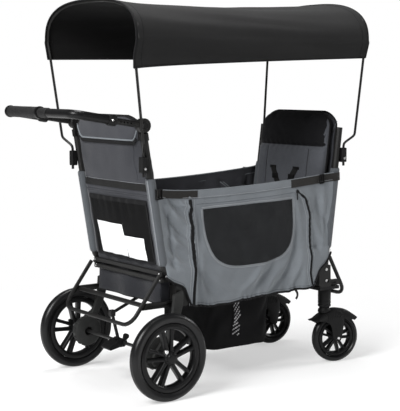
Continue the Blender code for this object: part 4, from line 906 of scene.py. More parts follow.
def side_wall(word, sign, grid):
    bm = from_grid([[flip_side(on_wall(y, z), sign) for y, z in row] for row in grid])
    bm.faces.ensure_lookup_table()
    for face in bm.faces:
        centre = face.calc_center_median()
        face.material_index = 2 if window_share(centre.y + AXLE_TO_ORIGIN, centre.z) < 0 else 0
    obj = piece(f"wall_{word}", bm, ["grey", "lining", "net"], "rear_end", smooth=60)
    thicken(obj, 0.0014)
    for face in obj.data.polygons:
        if face.material_index == 0 and face.normal.x * sign < -0.2:
            face.material_index = 1
    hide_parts(f"side_wall_{word}")
    extras = []

    def strip(name, places, width, thickness, mat, out, crown):
        points = [flip_side(on_wall(y, z, out), sign) for y, z in places]
        shape = ribbon(points, (sign, 0, 0), width, thickness, 5, crown)
        extras.append(piece(f"wall_{name}_{word}", shape, mat, "rear_end"))

    def line(name, places, radius, mat, out):
        points = [flip_side(on_wall(y, z, out), sign) for y, z in places]
        extras.append(piece(f"wall_{name}_{word}", rod(points, radius, 8), mat, "rear_end"))

    ys = spread(0.016, 0.776, 140)
    strip("rim_band", [(y, rim_z(y) - RIM_BAND_H / 2) for y in ys], RIM_BAND_H, 0.0022, "grey", 0.0014, 0.0006)
    line("rim_roll", [(y, rim_z(y) - 0.0006) for y in ys], 0.0026, "grey", 0.0004)
    line("rim_seam", [(y, rim_z(y) - RIM_BAND_H + 0.0030) for y in ys], 0.0006, "stitch", 0.0027)
    line("low_seam", [(y, rim_z(y) - RIM_BAND_H - 0.0200) for y in ys[28:-34]], 0.0006, "lining", 0.0006)
    strip("window_binding", window_edge(0.0035), 0.0085, 0.0014, "grey_light", 0.0012, 0.0004)
    line("window_seam", window_edge(0.0060), 0.0005, "stitch", 0.0020)
    line("window_seam_in", window_edge(0.0008), 0.0005, "lining", 0.0016)
    for number, zip_line in enumerate((ZIP_REAR, ZIP_FRONT)):
        top, bottom = zip_line[0][1], zip_line[-1][1]
        places = [(along_line(zip_line, z), z) for z in spread(top, bottom, 90)]
        wide = (0.0125, 0.0085)[number]
        wavy = [(y + 0.0010 * sin(34 * z + number), z) for y, z in places]
        strip(f"zip_{number}", wavy, wide, 0.0018, "piping", 0.0018, 0.0012)
        for side, shift in (("a", -0.5 * wide - 0.0022), ("b", 0.5 * wide + 0.0022)):
            line(f"zip_welt_{number}_{side}", [(y + shift, z) for y, z in wavy], 0.0026, "grey", 0.0004)
            beside = [(y + 2.2 * shift, z) for y, z in places]
            line(f"zip_seam_{number}_{side}", beside, 0.0005, "stitch", 0.0009)
    border = [(y, low_z(y)) for y in spread(0.037, 0.759, 240)]
    line("hem", [(y, z + 0.0010) for y, z in border], 0.0038, "piping", 0.0008)
    line("hem_seam", [(y, z + 0.0110) for y, z in border], 0.0006, "lining", 0.0008)
    squash_wall([obj] + extras)


def sleeve_ring(line, z, grow, fold_seed):
    ring = []
    for k in range(28):
        a = 2 * pi * k / 28
        crease = 0.0007 * bumpy(a * 0.8, z * 38, fold_seed)
        x = FRAME_X + (SLEEVE_RX + grow + crease) * cos(a)
        y = line(z) + (SLEEVE_RY + grow + crease) * sin(a)
        ring.append(Vector((x, y, z)))
    return ring


def sleeve(end_name, line, word, sign):
    """Grey cloth laced round an upright, with a seam down its outer face and turned ends."""
    steps = 52
    rings = []
    for i, z in enumerate(spread(SLEEVE_LOW_Z, SLEEVE_HIGH_Z, steps)):
        tuck = -0.0016 * (hump(i / 1.2) + hump((steps - i) / 1.2))
        rings.append([flip_side(p, sign) for p in sleeve_ring(line, z, tuck, sign * 3.0 + line(0))])
    # The sleeve's cloth is the wall's grey painted darker, as painted shade.
    obj = piece(f"{end_name}_sleeve_{word}", from_grid(rings, closed=True), ["grey_sleeve", "lining"],
                f"{end_name}_end", smooth=60)
    thicken(obj, 0.0014, offset=-1.0)
    toward = -1 if end_name == "rear" else 1
    for number, angle in enumerate((70, 62)):
        a = radians(angle * toward)
        points = []
        for z in spread(SLEEVE_LOW_Z + 0.004, SLEEVE_HIGH_Z - 0.004, 40):
            x = FRAME_X + (SLEEVE_RX + 0.0004) * cos(a)
            points.append(P(sign * x, line(z) + (SLEEVE_RY + 0.0004) * sin(a), z))
        piece(f"{end_name}_sleeve_seam_{word}_{number}", rod(points, 0.0006, 6), "stitch", f"{end_name}_end")


# Seat backs: padded panels in a pressed form, with piping round the edge

def back_thick(z):
    return BACK_T * min(1.0, 0.30 + 0.70 * (z - BACK_LOW_Z) / 0.065)


SOFT_CORNER_X = 0.084
SOFT_CORNER_Z = 0.056
TOP_GAP = 0.0008


def soft_corner(wide, z):
    """Half a seat back's width at a height, with long low corners at its top."""
    over = max(0.0, z - (BACK_TOP_Z - SOFT_CORNER_Z)) / SOFT_CORNER_Z
    return wide - SOFT_CORNER_X + SOFT_CORNER_X * sqrt(max(1 - over ** 2, 0.0))


def back_half(z):
    return soft_corner(BACK_HALF_X, z)


def panel_half(z):
    return soft_corner(BACK_HALF_X + 0.0118, z)


def arch(half_of, low, steps, across):
    """Places (x, z) up the right edge of a seat back from low, over its top and down the left edge."""
    edge = [low + (BACK_TOP_Z - low) * sin(a) for a in spread(0, pi / 2, steps)]
    side = [(half_of(min(z, BACK_TOP_Z - TOP_GAP)), z) for z in edge]
    top = side[-1][0]
    return side + [(x, BACK_TOP_Z) for x in spread(top, -top, across)[1:-1]] + [(-x, z) for x, z in side[::-1]]


CHANNELS = (0.800, 0.560)
SIDE_CHANNEL_X = 0.118
SEWN_HALF = 0.004


def pad_dip(x, z):
    """How far the sewn channels draw a seat back in at a place."""
    dip = sum(0.0085 * hump((z - c) / 0.0095) for c in CHANNELS)
    return dip + 0.0055 * hump((abs(x) - SIDE_CHANNEL_X) / 0.0065) * smooth_step(0.795, 0.780, z)


def pad_surface(line, inward, x, z, face):
    """A place on a seat back before it is sewn: face is 1 on the sitter's side, 0 on the outer side."""
    half = back_half(min(z, BACK_TOP_Z - 0.0005))
    u = min(1.0, abs(x) / max(half, 0.001))
    rim = (1 - u ** 6) ** 0.5
    top = clamp((BACK_TOP_Z - z) / 0.030)
    low = clamp((z - BACK_LOW_Z) / 0.020)
    edge = rim * sqrt(max(0.0, 1 - (1 - top) ** 2)) * sqrt(max(0.0, 1 - (1 - low) ** 2))
    thick = back_thick(z)
    if face:
        full = 0.008 * hump((z - 0.740) / 0.110)
        depth = thick * (0.46 + 0.50 * edge) + full * (0.45 + 0.55 * edge)
    else:
        depth = 0.0020 + 0.30 * thick * (1 - edge) * 0.5
    return P(x, line(z) + inward * (BACK_OFF + depth), z)


def seat_back(end_name, line, inward):
    rings = []
    levels, across = 90, 60
    for i in range(levels + 1):
        z = BACK_LOW_Z + (BACK_TOP_Z - BACK_LOW_Z) * (1 - cos(pi * i / levels)) / 2
        half = back_half(min(z, BACK_TOP_Z - TOP_GAP)) * 0.995
        xs = [half * sin(pi / 2 * (2 * j / across - 1)) for j in range(across + 1)]
        front, back = ([pad_surface(line, inward, x, z, face) for x in xs] for face in (1, 0))
        rings.append(front + back[::-1])
    bm = from_grid(rings, closed=True)
    points = list(bm.verts)
    size = len(rings[0])
    for ring in (points[:size], points[-size:]):
        for k in range(across):
            bm.faces.new((ring[k], ring[k + 1], ring[size - 2 - k], ring[size - 1 - k]))

    def depth_of(co):
        return (co.y + AXLE_TO_ORIGIN - line(co.z)) * inward - BACK_OFF

    def held(co):
        if depth_of(co) < 0.010:
            return True
        sewn = any(abs(co.z - c) < SEWN_HALF for c in CHANNELS)
        return sewn or (abs(abs(co.x) - SIDE_CHANNEL_X) < SEWN_HALF and co.z < CHANNELS[0])

    bm = puffed(bm, PAD_CAP, held)
    for vertex in bm.verts:
        co = vertex.co
        deep = depth_of(co)
        if deep > 0.012:
            pucker = 0.0016 * bumpy(co.x * 34, co.z * 40, inward * 3)
            pucker += 0.0010 * sin(210 * co.x) * sum(hump((co.z - c) / 0.018) for c in CHANNELS)
            co.y -= inward * (pad_dip(co.x, co.z) + pucker) * smooth_step(0.012, 0.030, deep)
        elif deep < 0.0016:
            co.y += inward * (0.0016 - deep)
    obj = piece(f"{end_name}_seat_pad", bm, ["head", "seat", "grey_dark"], f"{end_name}_end", smooth=70)
    for face in obj.data.polygons:
        z = face.center.z
        toward = face.normal.y * inward
        beside = abs(face.normal.x) > 0.75 and abs(face.center.x) > 0.17
        face.material_index = 2 if toward < -0.3 else (1 if beside or z <= CHANNELS[0] else 0)
    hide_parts(f"{end_name}_seat_back")
    tree = surface_of(obj)

    def on_pad(x, z, out):
        hit = tree.ray_cast(P(x, line(z) + inward * 0.2, z), Vector((0, -inward, 0)))[0]
        return hit + Vector((0, inward * out, 0))

    points = [P(x, line(z) + inward * (BACK_OFF + back_thick(z) * 0.30), z)
              for x, z in arch(back_half, BACK_LOW_Z, 60, 30)]
    piece(f"{end_name}_pad_piping", rod(points, 0.0034, 10), "piping", f"{end_name}_end")
    lines = [[(x, channel) for x in spread(-0.178, 0.178, 80)] for channel in CHANNELS]
    for sign in (1, -1):
        for low, high in ((0.455, 0.552), (0.568, 0.790)):
            lines.append([(sign * SIDE_CHANNEL_X, z) for z in spread(low, high, 60)])
    for number, places in enumerate(lines):
        points = [on_pad(x, z, 0.0003) for x, z in places]
        piece(f"{end_name}_pad_seam_{number}", rod(points, 0.0010, 6), "piping", f"{end_name}_end")
    return on_pad


FLAP_Z = 0.847
SKIRT_HALF_X = 0.232
SKIRT_TURN_X = 0.1975


def panel_swell(x, z):
    u = x / (BACK_HALF_X + 0.012)
    v = clamp((z - SLEEVE_LOW_Z) / (BACK_TOP_Z - SLEEVE_LOW_Z))
    return 0.006 * (1 - u * u) * (0.35 + 0.65 * sin(pi * v)) * min(1, 4 * v)


def panel_point(line, inward, x, z, out=0.0):
    """Outer face of the back cloth between the uprights, with the puff of the wadding under it."""
    puff = 0.0
    if z > 0.700:
        v = (z - 0.700) / (BACK_TOP_Z - 0.700)
        u = x / panel_half(z)
        puff = 0.0045 * (1 - u ** 4) * sqrt(max(0.0, sin(pi * min(1.0, v))))
        puff += 0.0050 * smooth_step(FLAP_Z - 0.004, FLAP_Z + 0.004, z) * (1 - u ** 8)
    wave = 0.0016 * bumpy(x * 16, z * 14, 5.0 + inward)
    drag = 0.0012 * sin(60 * (z - 0.6 * abs(x))) * hump((abs(x) / panel_half(z) - 1) / 0.4)
    return P(x, line(z) - inward * (panel_swell(x, z) + 0.0022 + puff + wave + drag + out), z)


def back_cloth(end_name, line, inward, skirt_y, skirt_z):
    end = f"{end_name}_end"
    rows = []
    for a in spread(0, pi / 2, 96):
        z = SLEEVE_LOW_Z + (BACK_TOP_Z - SLEEVE_LOW_Z) * sin(a)
        half = panel_half(min(z, BACK_TOP_Z - TOP_GAP))
        rows.append([panel_point(line, inward, x, z) for x in spread(-half, half, 60)])
    obj = piece(f"{end_name}_back_cloth", from_grid(rows), ["grey_dark", "lining"], end, smooth=70)
    thicken(obj, 0.0012, offset=-1.0)
    skirt_rows = []
    for i, z in enumerate(spread(skirt_z, SLEEVE_LOW_Z + 0.004, 30)):
        row = []
        for run in spread(-SKIRT_HALF_X, SKIRT_HALF_X, 80):
            beyond = abs(run) > SKIRT_TURN_X
            x = max(-SKIRT_TURN_X, min(SKIRT_TURN_X, run)) + 0.0012 * sin(60 * z) * beyond
            wrap = max(0.0, abs(run) - SKIRT_TURN_X) * smooth_step(0.412, 0.395, z)
            fold = 0.0034 * sin(38 * x + 6 * z) * (1 - i / 40) + 0.005 * bumpy(x * 12, z * 10, 2)
            blend_in = smooth_step(0.405, SLEEVE_LOW_Z, z)
            y = (skirt_y - inward * fold) * (1 - blend_in) + (line(z) - inward * 0.0005) * blend_in
            row.append(P(x, y + inward * wrap, z))
        skirt_rows.append(row)
    skirt = piece(f"{end_name}_skirt", from_grid(skirt_rows), "skirt", end, smooth=70)
    thicken(skirt, 0.0014)
    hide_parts(f"{end_name}_back_panel")
    edge = [panel_point(line, inward, x * 0.998, z - 0.0003)
            for x, z in arch(panel_half, SLEEVE_HIGH_Z, 70, 40)]
    flap = []
    for t in spread(-1, 1, 100):
        x = panel_half(0.86) * 0.985 * t
        z = FLAP_Z + 0.045 * max(0.0, (abs(t) - 0.80) / 0.20) ** 2
        flap.append(panel_point(line, inward, x, z, 0.0012))
    # Below the flap roll, a black strip is set where the flap casts shade: a painted shadow.
    shadow = [p + Vector((0, inward * 0.0020, -0.0088)) for p in flap[4:-4]]
    tuck = [panel_point(line, inward, 0.150 + 0.004 * sin(9 * t), 0.715 + 0.120 * t, 0.0002)
            for t in spread(0, 1, 40)]
    tape = ribbon(shadow, (0, -inward, 0), 0.0145, 0.0016, 5, 0.0006)
    extras = [
        piece(f"{end_name}_back_piping", rod(edge, 0.0030, 10), "piping", end),
        piece(f"{end_name}_back_flap_roll", rod(flap, 0.0028, 10), "grey", end),
        piece(f"{end_name}_back_flap_painted_shadow", tape, "piping", end),
        piece(f"{end_name}_back_tuck", rod(tuck, 0.0012, 6), "grey_dark", end),
    ]
    hem_piece = piece(f"{end_name}_skirt_hem", rod(skirt_rows[0], 0.0022, 8), "piping", end)


# Rear pocket with two plain patches, and the webbing band above it

POCKET_LOW_Z = 0.434
POCKET_HIGH_Z = 0.640
POCKET_HALF_X = 0.183


def pocket_point(x, z, out=0.0):
    u = x / POCKET_HALF_X
    v = clamp((z - POCKET_LOW_Z) / (POCKET_HIGH_Z - POCKET_LOW_Z))
    slack = 0.012 * (1 - u * u) * (0.35 + 0.65 * sin(pi * v))
    sag = 0.0030 * bumpy(x * 15, z * 11, 8.2) * (1 - u * u)
    gather = 0.0022 * sin(130 * x + 14 * z) * hump((1 - v) / 0.25) * (1 - u * u)
    gather += 0.0016 * sin(90 * x) * hump(v / 0.2)
    return P(x, rear_y(z) - panel_swell(x, z) - slack - sag - gather - 0.0045 - out, z)


def pocket():
    xs, zs = spread(-POCKET_HALF_X, POCKET_HALF_X, 80), spread(POCKET_LOW_Z, POCKET_HIGH_Z, 60)
    obj = piece("pocket_net", from_grid([[pocket_point(x, z) for x in xs] for z in zs]), "pocket", "rear_end",
                smooth=70)
    thicken(obj, 0.0012)
    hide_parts("rear_pocket")

    def border(name, places, width, thickness, crown=0.0):
        points = [pocket_point(x, z, 0.0004) for x, z in places]
        shape = ribbon(points, (0, -1, 0), width, thickness, crown=crown)
        piece(f"pocket_{name}", shape, "piping", "rear_end")

    border("top_band", [(x, POCKET_HIGH_Z) for x in xs], 0.016, 0.0018, 0.0006)
    border("low_band", [(x, POCKET_LOW_Z + 0.003) for x in xs], 0.008, 0.0016)
    for word, sign in SIDES:
        places = [(sign * (POCKET_HALF_X - 0.004), z) for z in spread(POCKET_LOW_Z, POCKET_HIGH_Z, 40)]
        border(f"side_{word}", places, 0.008, 0.0014)
    large = label("label_large", -0.143, 0.030, 0.443, 0.555, 1.0)
    label("label_small", 0.0315, 0.143, 0.440, 0.517, 4.0)
    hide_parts("label_patches")


def label(name, x0, x1, z0, z1, seed):
    """A plain patch that curls a little, with a seam below its upper edge."""

    def curl(x, z):
        return 0.0012 * bumpy(x * 30, z * 26, seed) + 0.0007 * sin(70 * x + 40 * z + seed)

    rows = []
    for z in spread(z0, z1, 24):
        row = []
        for x in spread(x0, x1, 32):
            lift = 0.0014 * hump((z - z0) / 0.008) * (0.6 + 0.4 * sin(20 * x + seed))
            row.append(pocket_point(x, z, 0.0020 + curl(x, z) + lift))
        rows.append(row)
    obj = piece(name, from_grid(rows), "label", "rear_end", smooth=70)
    thicken(obj, 0.0004)
    inset = 0.003
    high = z1 - inset
    line = [pocket_point(x, high, 0.0022 + curl(x, high)) for x in spread(x0 + inset, x1 - inset, 40)]
    seam = piece(f"{name}_seam", rod(line, 0.0003, 5), "stitch", "rear_end")
    return obj


def rear_band():
    """Webbing from upright to upright below the padded head of the rear panel."""

    def across(half, z, out):
        return [panel_point(rear_y, 1, x, z, out) for x in spread(-half, half, 100)]

    band = ribbon(across(0.199, 0.693, 0.0012), (0, -1, 0), 0.026, 0.0018)
    piece("rear_band", band, "webbing_black", "rear_end")
    for number, z in enumerate((0.7045, 0.6815)):
        seam = rod(across(0.197, z, 0.0023), 0.0004, 5)
        piece(f"rear_band_seam_{number}", seam, "stitch", "rear_end")
    piece("rear_tuck", rod(across(0.199, 0.664, 0.0006), 0.0026, 8), "grey_dark", "rear_end")


# Harness: shoulder straps, a crotch strap and a buckle on a pad

def harness(end_name, line, inward, on_pad):
    end = f"{end_name}_end"
    steps = spread(0, 1, 40)
    for word, sign in SIDES:
        points = [on_pad(sign * (0.066 - 0.050 * t), 0.715 - 0.085 * t, 0.0022) for t in steps]
        strap = piece(f"{end_name}_shoulder_strap_{word}", ribbon(points, (0, inward, 0), 0.025, 0.0018),
                      "webbing_black", end)
        slot = place(block((0.034, 0.0036, 0.011), 0.0015), on_pad(sign * 0.066, 0.716, 0.0016))
        piece(f"{end_name}_strap_slot_{word}", slot, "plastic", end)
        slider = place(block((0.031, 0.0032, 0.020), 0.0012), on_pad(sign * 0.047, 0.683, 0.0042))
        piece(f"{end_name}_strap_slider_{word}", slider, "plastic", end)
    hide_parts(f"{end_name}_harness")
    points = [on_pad(0.0, 0.600 - 0.138 * t, 0.0022) for t in steps]
    piece(f"{end_name}_crotch_strap", ribbon(points, (0, inward, 0), 0.025, 0.0018), "webbing_black", end)
    turn = Matrix.Rotation(atan2(line(0) - line(1), 1), 3, "X")
    at = P(0, line(0.610) + inward * (BACK_OFF + BACK_T + 0.0072), 0.610)
    shape = place(block((0.058, 0.0105, 0.085), 0.0045, 4), at, turn)
    pad = piece(f"{end_name}_buckle_pad", shape, "seat", end)
    at = at + Vector((0, inward * 0.0050, 0.002))
    piece(f"{end_name}_buckle", place(block((0.040, 0.0040, 0.052), 0.0018, 3), at, turn), "plastic_gloss", end)
    button = lathe([(0, -0.001), (0.0085, -0.001), (0.0085, 0.0012), (0.0075, 0.0020), (0, 0.0022)], 28, "Y")
    half_turn(button, inward)
    piece(f"{end_name}_buckle_button", place(button, at + Vector((0, inward * 0.0018, 0.004))), "plastic", end)


# Seat cushions

CUSHION_SEAM_X = 0.36 * BOARD_X


def cushion(end_name, pivot_y, inward, edge):
    """A flat pad with rounded, drawn-in sides and two channels."""
    outer, inner = pivot_y + inward * edge, pivot_y + inward * SEAT_REACH
    low, high = CUSHION_LOW_Z, CUSHION_LOW_Z + CUSHION_T
    mid_z = (low + high) / 2
    across, around = 72, 60
    rings = []
    for j in range(across + 1):
        u = sin(pi / 2 * (2 * j / across - 1))
        ring = []
        side = sqrt(max(0.0, 1 - abs(u) ** 10))
        for k in range(around):
            a = 2 * pi * k / around
            c, s = cos(a), sin(a)
            v = squared(c, 0.35)
            w = squared(s, 0.55)
            y = (outer + inner) / 2 + (inner - outer) / 2 * v * (0.985 - 0.012 * (1 - abs(w)))
            x = BOARD_X * 0.995 * u * (0.985 + 0.015 * (1 - v * v))
            top = CUSHION_T / 2 * w * (0.35 + 0.65 * side) * (0.80 + 0.20 * (1 - v ** 4) * (1 - u ** 4))
            z = max(low + 0.0002, mid_z + top)
            ring.append(P(x, y, z))
        rings.append(ring)
    bm = from_grid(rings, closed=True)
    bmesh.ops.holes_fill(bm, edges=[e for e in bm.edges if e.is_boundary])

    def held(co):
        return co.z < mid_z - 0.004 or (co.z > mid_z and abs(abs(co.x) - CUSHION_SEAM_X) < SEWN_HALF)

    bm = puffed(bm, CUSHION_CAP, held, voxel=0.005)
    for vertex in bm.verts:
        co = vertex.co
        rise = max(0.0, (co.z - mid_z) / (high - mid_z))
        lumps = 0.0012 * bumpy(co.x * 26, co.y * 26, 3.0)
        co.z += (lumps - 0.0060 * hump((abs(co.x) - CUSHION_SEAM_X) / 0.0080)) * min(1.0, rise)
        co.z = max(low + 0.0002, co.z)
    obj = piece(f"{end_name}_cushion_pad", bm, "seat", f"{end_name}_floor", smooth=75)
    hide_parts(f"{end_name}_seat_cushion")
    loop = [P(BOARD_X * 0.985 * u, (outer + inner) / 2 + (inner - outer) / 2 * 0.975 * v, mid_z)
            for u, v in round_square(120, 0.12)]
    piece(f"{end_name}_cushion_piping", rod(loop, 0.0024, 8, closed=True), "piping", f"{end_name}_floor")


# Foot well: a hanging black cloth box between the seats, with a strip of reflective bars on each side

WELL_TOP_Z = 0.3530
WELL_LOW_Z = 0.100
# The middle's y and the half sizes in x and y, at the rim and below it
WELL_RIM = (CENTRE_Y, 0.1805, 0.1808)
WELL_WALL = (0.411, 0.164, 0.159)


def well_point(a, share, out=0.0):
    """A place on the foot well's wall: a turns about its middle, share is 0 at the rim and 1 at the floor."""
    flare = 1 - min(1.0, share / 0.10)
    mid_y, half_x, half_y = (wall + (rim - wall) * flare for wall, rim in zip(WELL_WALL, WELL_RIM))
    shrink = 0.022 * share
    c, s = cos(a), sin(a)
    corner = 0.30
    x = (half_x - shrink + out) * squared(c, corner)
    y = mid_y + (half_y - shrink + out) * squared(s, corner)
    z = WELL_TOP_Z + (WELL_LOW_Z - WELL_TOP_Z) * share
    slack = sin(pi * min(1.0, share)) if share < 1 else 0.0
    fold = 0.0095 * bumpy(x * 11, y * 11, z * 8) + 0.0040 * bumpy(x * 34, y * 34, z * 16)
    droop = 0.0030 * sin(9 * a + 14 * share) * slack
    z -= 0.006 * smooth_step(0.6, 1.0, share) * bumpy(x * 14, y * 14, 3.0)
    normal = Vector((c, s, 0)).normalized()
    return P(x, y, z) + normal * (fold * slack + droop)


def foot_well():
    around, down = 160, 44
    rows = []
    for i in range(down + 1):
        share = i / down
        rows.append([well_point(2 * pi * (k + 0.5) / around, share) for k in range(around)])
    last = rows[-1]
    centre = sum(last, Vector()) / len(last)
    for inset in (0.96, 0.85, 0.65, 0.40, 0.15):
        lift = 0.004 if inset < 0.9 else 0.0
        rows.append([centre + (p - centre) * inset + Vector((0, 0, lift * (1 - inset))) for p in last])
    bm = from_grid(rows, closed=True)
    bmesh.ops.holes_fill(bm, edges=[e for e in bm.edges if e.is_boundary and all(
        v.co.z < 0.2 for v in e.verts)])
    obj = piece("well_cloth", bm, "black", "rear_end", smooth=70)
    thicken(obj, 0.0014)
    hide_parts("foot_well")
    extras = []
    for (word, facing), turn in zip(SIDES, (-0.0020, pi + 0.0020)):
        strip = [well_point(turn, share, 0.0022) for share in spread(0.10, 0.84, 60)]
        tape = ribbon(strip, (facing, 0, 0), 0.040, 0.0010, 5)
        extras.append(piece(f"well_tape_{word}", tape, "black", "rear_end"))
        bars = []
        for number in range(14):
            slanted = number < 5
            share = 0.36 + 0.056 * number if slanted else 0.655 + 0.021 * (number - 5)
            rise, run = (0.115, 0.0270) if slanted else (0.022, 0.0090)
            aside = 0.0 if slanted else 0.0110 * (number * 2 % 3 - 1)
            line = []
            for t in spread(-0.5, 0.5, 8):
                at = well_point(turn, share - rise * t, 0.0030) + Vector((0.0010 * facing, 0, 0))
                line.append(at + Vector((0, run * t + aside, 0)))
            bars.append(ribbon(line, (facing, 0, 0), 0.0046, 0.0007, 3))
        extras.append(piece(f"well_reflective_{word}", merged(*bars), "reflective", "rear_end"))
    base = [well_point(2 * pi * (k + 0.5) / 240, 0.985, 0.0008) for k in range(240)]
    extras.append(piece("well_base_piping", rod(base, 0.0022, 8, closed=True), "piping", "rear_end"))
    rim = [well_point(2 * pi * (k + 0.5) / 240, 0.004) for k in range(240)]
    extras.append(piece("well_rim", rod(rim, 0.0016, 8, closed=True), "piping", "rear_end"))
    for item in [obj] + extras:
        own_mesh(item)


# Webbing and buckles on the side walls

def wall_webbing(word, sign):
    wall = []

    def outside(y, z, out):
        """On the wall, or on the sleeve where that stands further out."""
        at = on_wall(y, z, out)
        for line in (rear_y, front_y):
            off = (y - line(z)) / (SLEEVE_RY + 0.0015)
            if abs(off) < 1:
                at.x = max(at.x, FRAME_X + (SLEEVE_RX + 0.0012) * sqrt(1 - off * off) + out)
        return flip_side(at, sign)

    def band(name, places, width):
        shape = ribbon([outside(y, z, 0.0030) for y, z in places], (sign, 0, 0), width, 0.0017, 5)
        wall.append(piece(f"web_{name}_{word}", shape, "webbing", "rear_end"))

    def plate(name, y, z, size, bevel, out, turn=0.0, mat="plastic_gloss"):
        shape = place(block(size, bevel), outside(y, z, out), Matrix.Rotation(turn * sign, 3, "X"))
        wall.append(piece(f"web_{name}_{word}", shape, mat, "rear_end"))

    band("rear_strap", [(y - 0.004, rim_z(y) - 0.0135) for y in spread(0, 0.176, 60)], 0.0255)
    band("front_strap", [(y, rim_z(y) - 0.0150) for y in spread(0.580, 0.802, 60)], 0.0285)
    z = rim_z(0.012) - 0.0150
    plate("buckle_top", 0.010, z + 0.0150, (0.0055, 0.030, 0.0042), 0.0015, 0.0050, 0.10)
    plate("buckle_low", 0.012, z - 0.0150, (0.0055, 0.030, 0.0042), 0.0015, 0.0050, 0.10)
    plate("buckle_front", 0.025, z, (0.0060, 0.0045, 0.034), 0.0015, 0.0055)
    plate("buckle_rear", -0.004, z, (0.0060, 0.0045, 0.034), 0.0015, 0.0045)
    plate("buckle_bar", 0.012, z, (0.0050, 0.0050, 0.030), 0.0015, 0.0062, mat="plastic")
    z = rim_z(0.722) - 0.0150
    for number, shift in enumerate((-0.0085, 0.0, 0.0085)):
        plate(f"slider_bar_{number}", 0.722 + shift, z, (0.0048, 0.0036, 0.034), 0.0012, 0.0052)
    for number, shift in enumerate((-0.0155, 0.0155)):
        plate(f"slider_end_{number}", 0.722, z + shift, (0.0044, 0.0210, 0.0036), 0.0012, 0.0052, 0.13)
    for number, line in enumerate((ZIP_REAR, ZIP_FRONT)):
        y, z = line[0]
        at = flip_side(on_wall(y, z - 0.004, 0.0042), sign)
        puller = merged(place(block((0.0026, 0.0080, 0.011), 0.0010), at),
                        place(block((0.0020, 0.0052, 0.026), 0.0008), at + Vector((0.0010 * sign, 0, -0.017))))
        wall.append(piece(f"web_zip_puller_{number}_{word}", puller, "plastic_gloss", "rear_end"))
    squash_wall(wall)
    tail = [P(sign * (FRAME_X + 0.004 + 0.002 * sin(3 * t)), 0.600 + 0.012 * sin(2.6 * t),
              low_z(0.600) + 0.004 - 0.038 * t) for t in spread(0, 1, 12)]
    tail = ribbon(tail, (sign, 0.2, 0), 0.010, 0.0013)
    squash_wall([piece(f"web_tail_{word}", tail, "webbing_black", "rear_end")])


# Wheels: deep moulded rims with paired spokes

def bar_between(start, finish, wide, depth, x_mid, steps=6):
    """A moulded spoke in the wheel's plane: round-cornered, wider and deeper at its two ends."""
    along = (finish - start).normalized()
    across = Vector((0, -along.z, along.y))
    rings = []
    for t in spread(0, 1, steps):
        middle = start + (finish - start) * t
        half = wide / 2 * (1 + 0.22 * (2 * t - 1) ** 2)
        rings.append([middle + across * (u * half) + Vector((x_mid + v * depth / 2, 0, 0))
                      for u, v in round_square(16, 0.45)])
    return from_grid(rings, closed=True, capped=True)


# Sizes of a rim: radii of outer face, lip and inner face, half width, hub radius and half length, then half the
# gap of a pair of spokes, a spoke's width and the turn of the first pair
REAR_RIM = (0.1138, 0.1075, 0.0945, 0.0178, 0.0255, 0.0205, 0.0185, 0.0125, radians(96))
FRONT_RIM = (0.0712, 0.0662, 0.0560, 0.0160, 0.0165, 0.0200, 0.0125, 0.0085, radians(80))


def rim(name, node, body, matrix, sizes, o):
    """A spoked rim about the x axis with its face toward o, moved by the matrix onto its axle."""
    outer_r, lip_r, inner_r, half_w, hub_r, hub_half, gap, wide, first = sizes
    half = [(outer_r, half_w - 0.003), (lip_r, half_w), (lip_r - 0.002, half_w + 0.0012),
            (inner_r + 0.003, half_w - 0.0010), (inner_r, half_w - 0.005)]
    far_half = [(r, -w) for r, w in half[::-1]]
    profile = far_half[-1:] + half + [(inner_r - 0.0015, 0.0)] + far_half[:-1]
    hub = [(0, o * hub_half), (hub_r * 0.70, o * hub_half), (hub_r * 0.92, o * hub_half * 0.82),
           (hub_r, o * hub_half * 0.45), (hub_r, -o * hub_half * 0.70), (hub_r * 0.8, -o * hub_half * 0.96),
           (0, -o * hub_half * 0.96)]
    meshes = [lathe(profile, 72, "X", closed=True), lathe(hub, 40, "X")]
    near, far = hub_r - 0.004, inner_r + 0.001
    for pair in range(5):
        a = first + 2 * pi * pair / 5
        along, across = Vector((0, cos(a), sin(a))), Vector((0, -sin(a), cos(a)))
        for side in (-1, 1):
            start, finish = along * near + across * (side * 0.42 * gap), along * far + across * (side * gap)
            meshes.append(bar_between(start, finish, wide, half_w * 1.50, 0.0))
    for pair in range(5):
        a = first + 2 * pi * (pair + 0.5) / 5
        along = Vector((0, hub_r * cos(a), hub_r * sin(a)))
        meshes.append(bar_between(along * 0.3, along * 0.90, 0.0022, 0.0030, o * hub_half * 0.93, 3))
    obj = piece(name, moved(merged(*meshes), matrix), "plastic_gloss", body, smooth=50)
    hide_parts(node)


def caster_matrix(word):
    sign = 1 if word == "right" else -1
    return Matrix.Translation(P(sign * STEM_X, STEM_Y, 0)) @ Matrix.Rotation(radians(CASTER_YAW[word]), 4, "Z")


def tyre(name, node, body, matrix, radius, seat_r, half_w):
    """A foam tyre with a raised shoulder line on each side and fine tread grooves."""
    below_top = ((0.0150, 0.985), (0.0125, 1.0), (0.0105, 0.965), (0.0065, 0.86), (0.0028, 0.66), (0.0010, 0.46),
                 (0.0018, 0.43), (0.0006, 0.40), (0.0, 0.20), (0.0, 0.05), (0.0012, 0.02))
    side = [(seat_r + 0.0004, 0.70), (seat_r + 0.004, 0.86)] + [(radius - deep, w) for deep, w in below_top]
    profile = [(r, half_w * w) for r, w in side] + [(r, -half_w * w) for r, w in side[::-1]]
    bm = lathe(profile, 96, "X", closed=True)
    moved(bm, matrix)
    obj = piece(name, bm, "tyre", body, smooth=50)
    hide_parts(node)


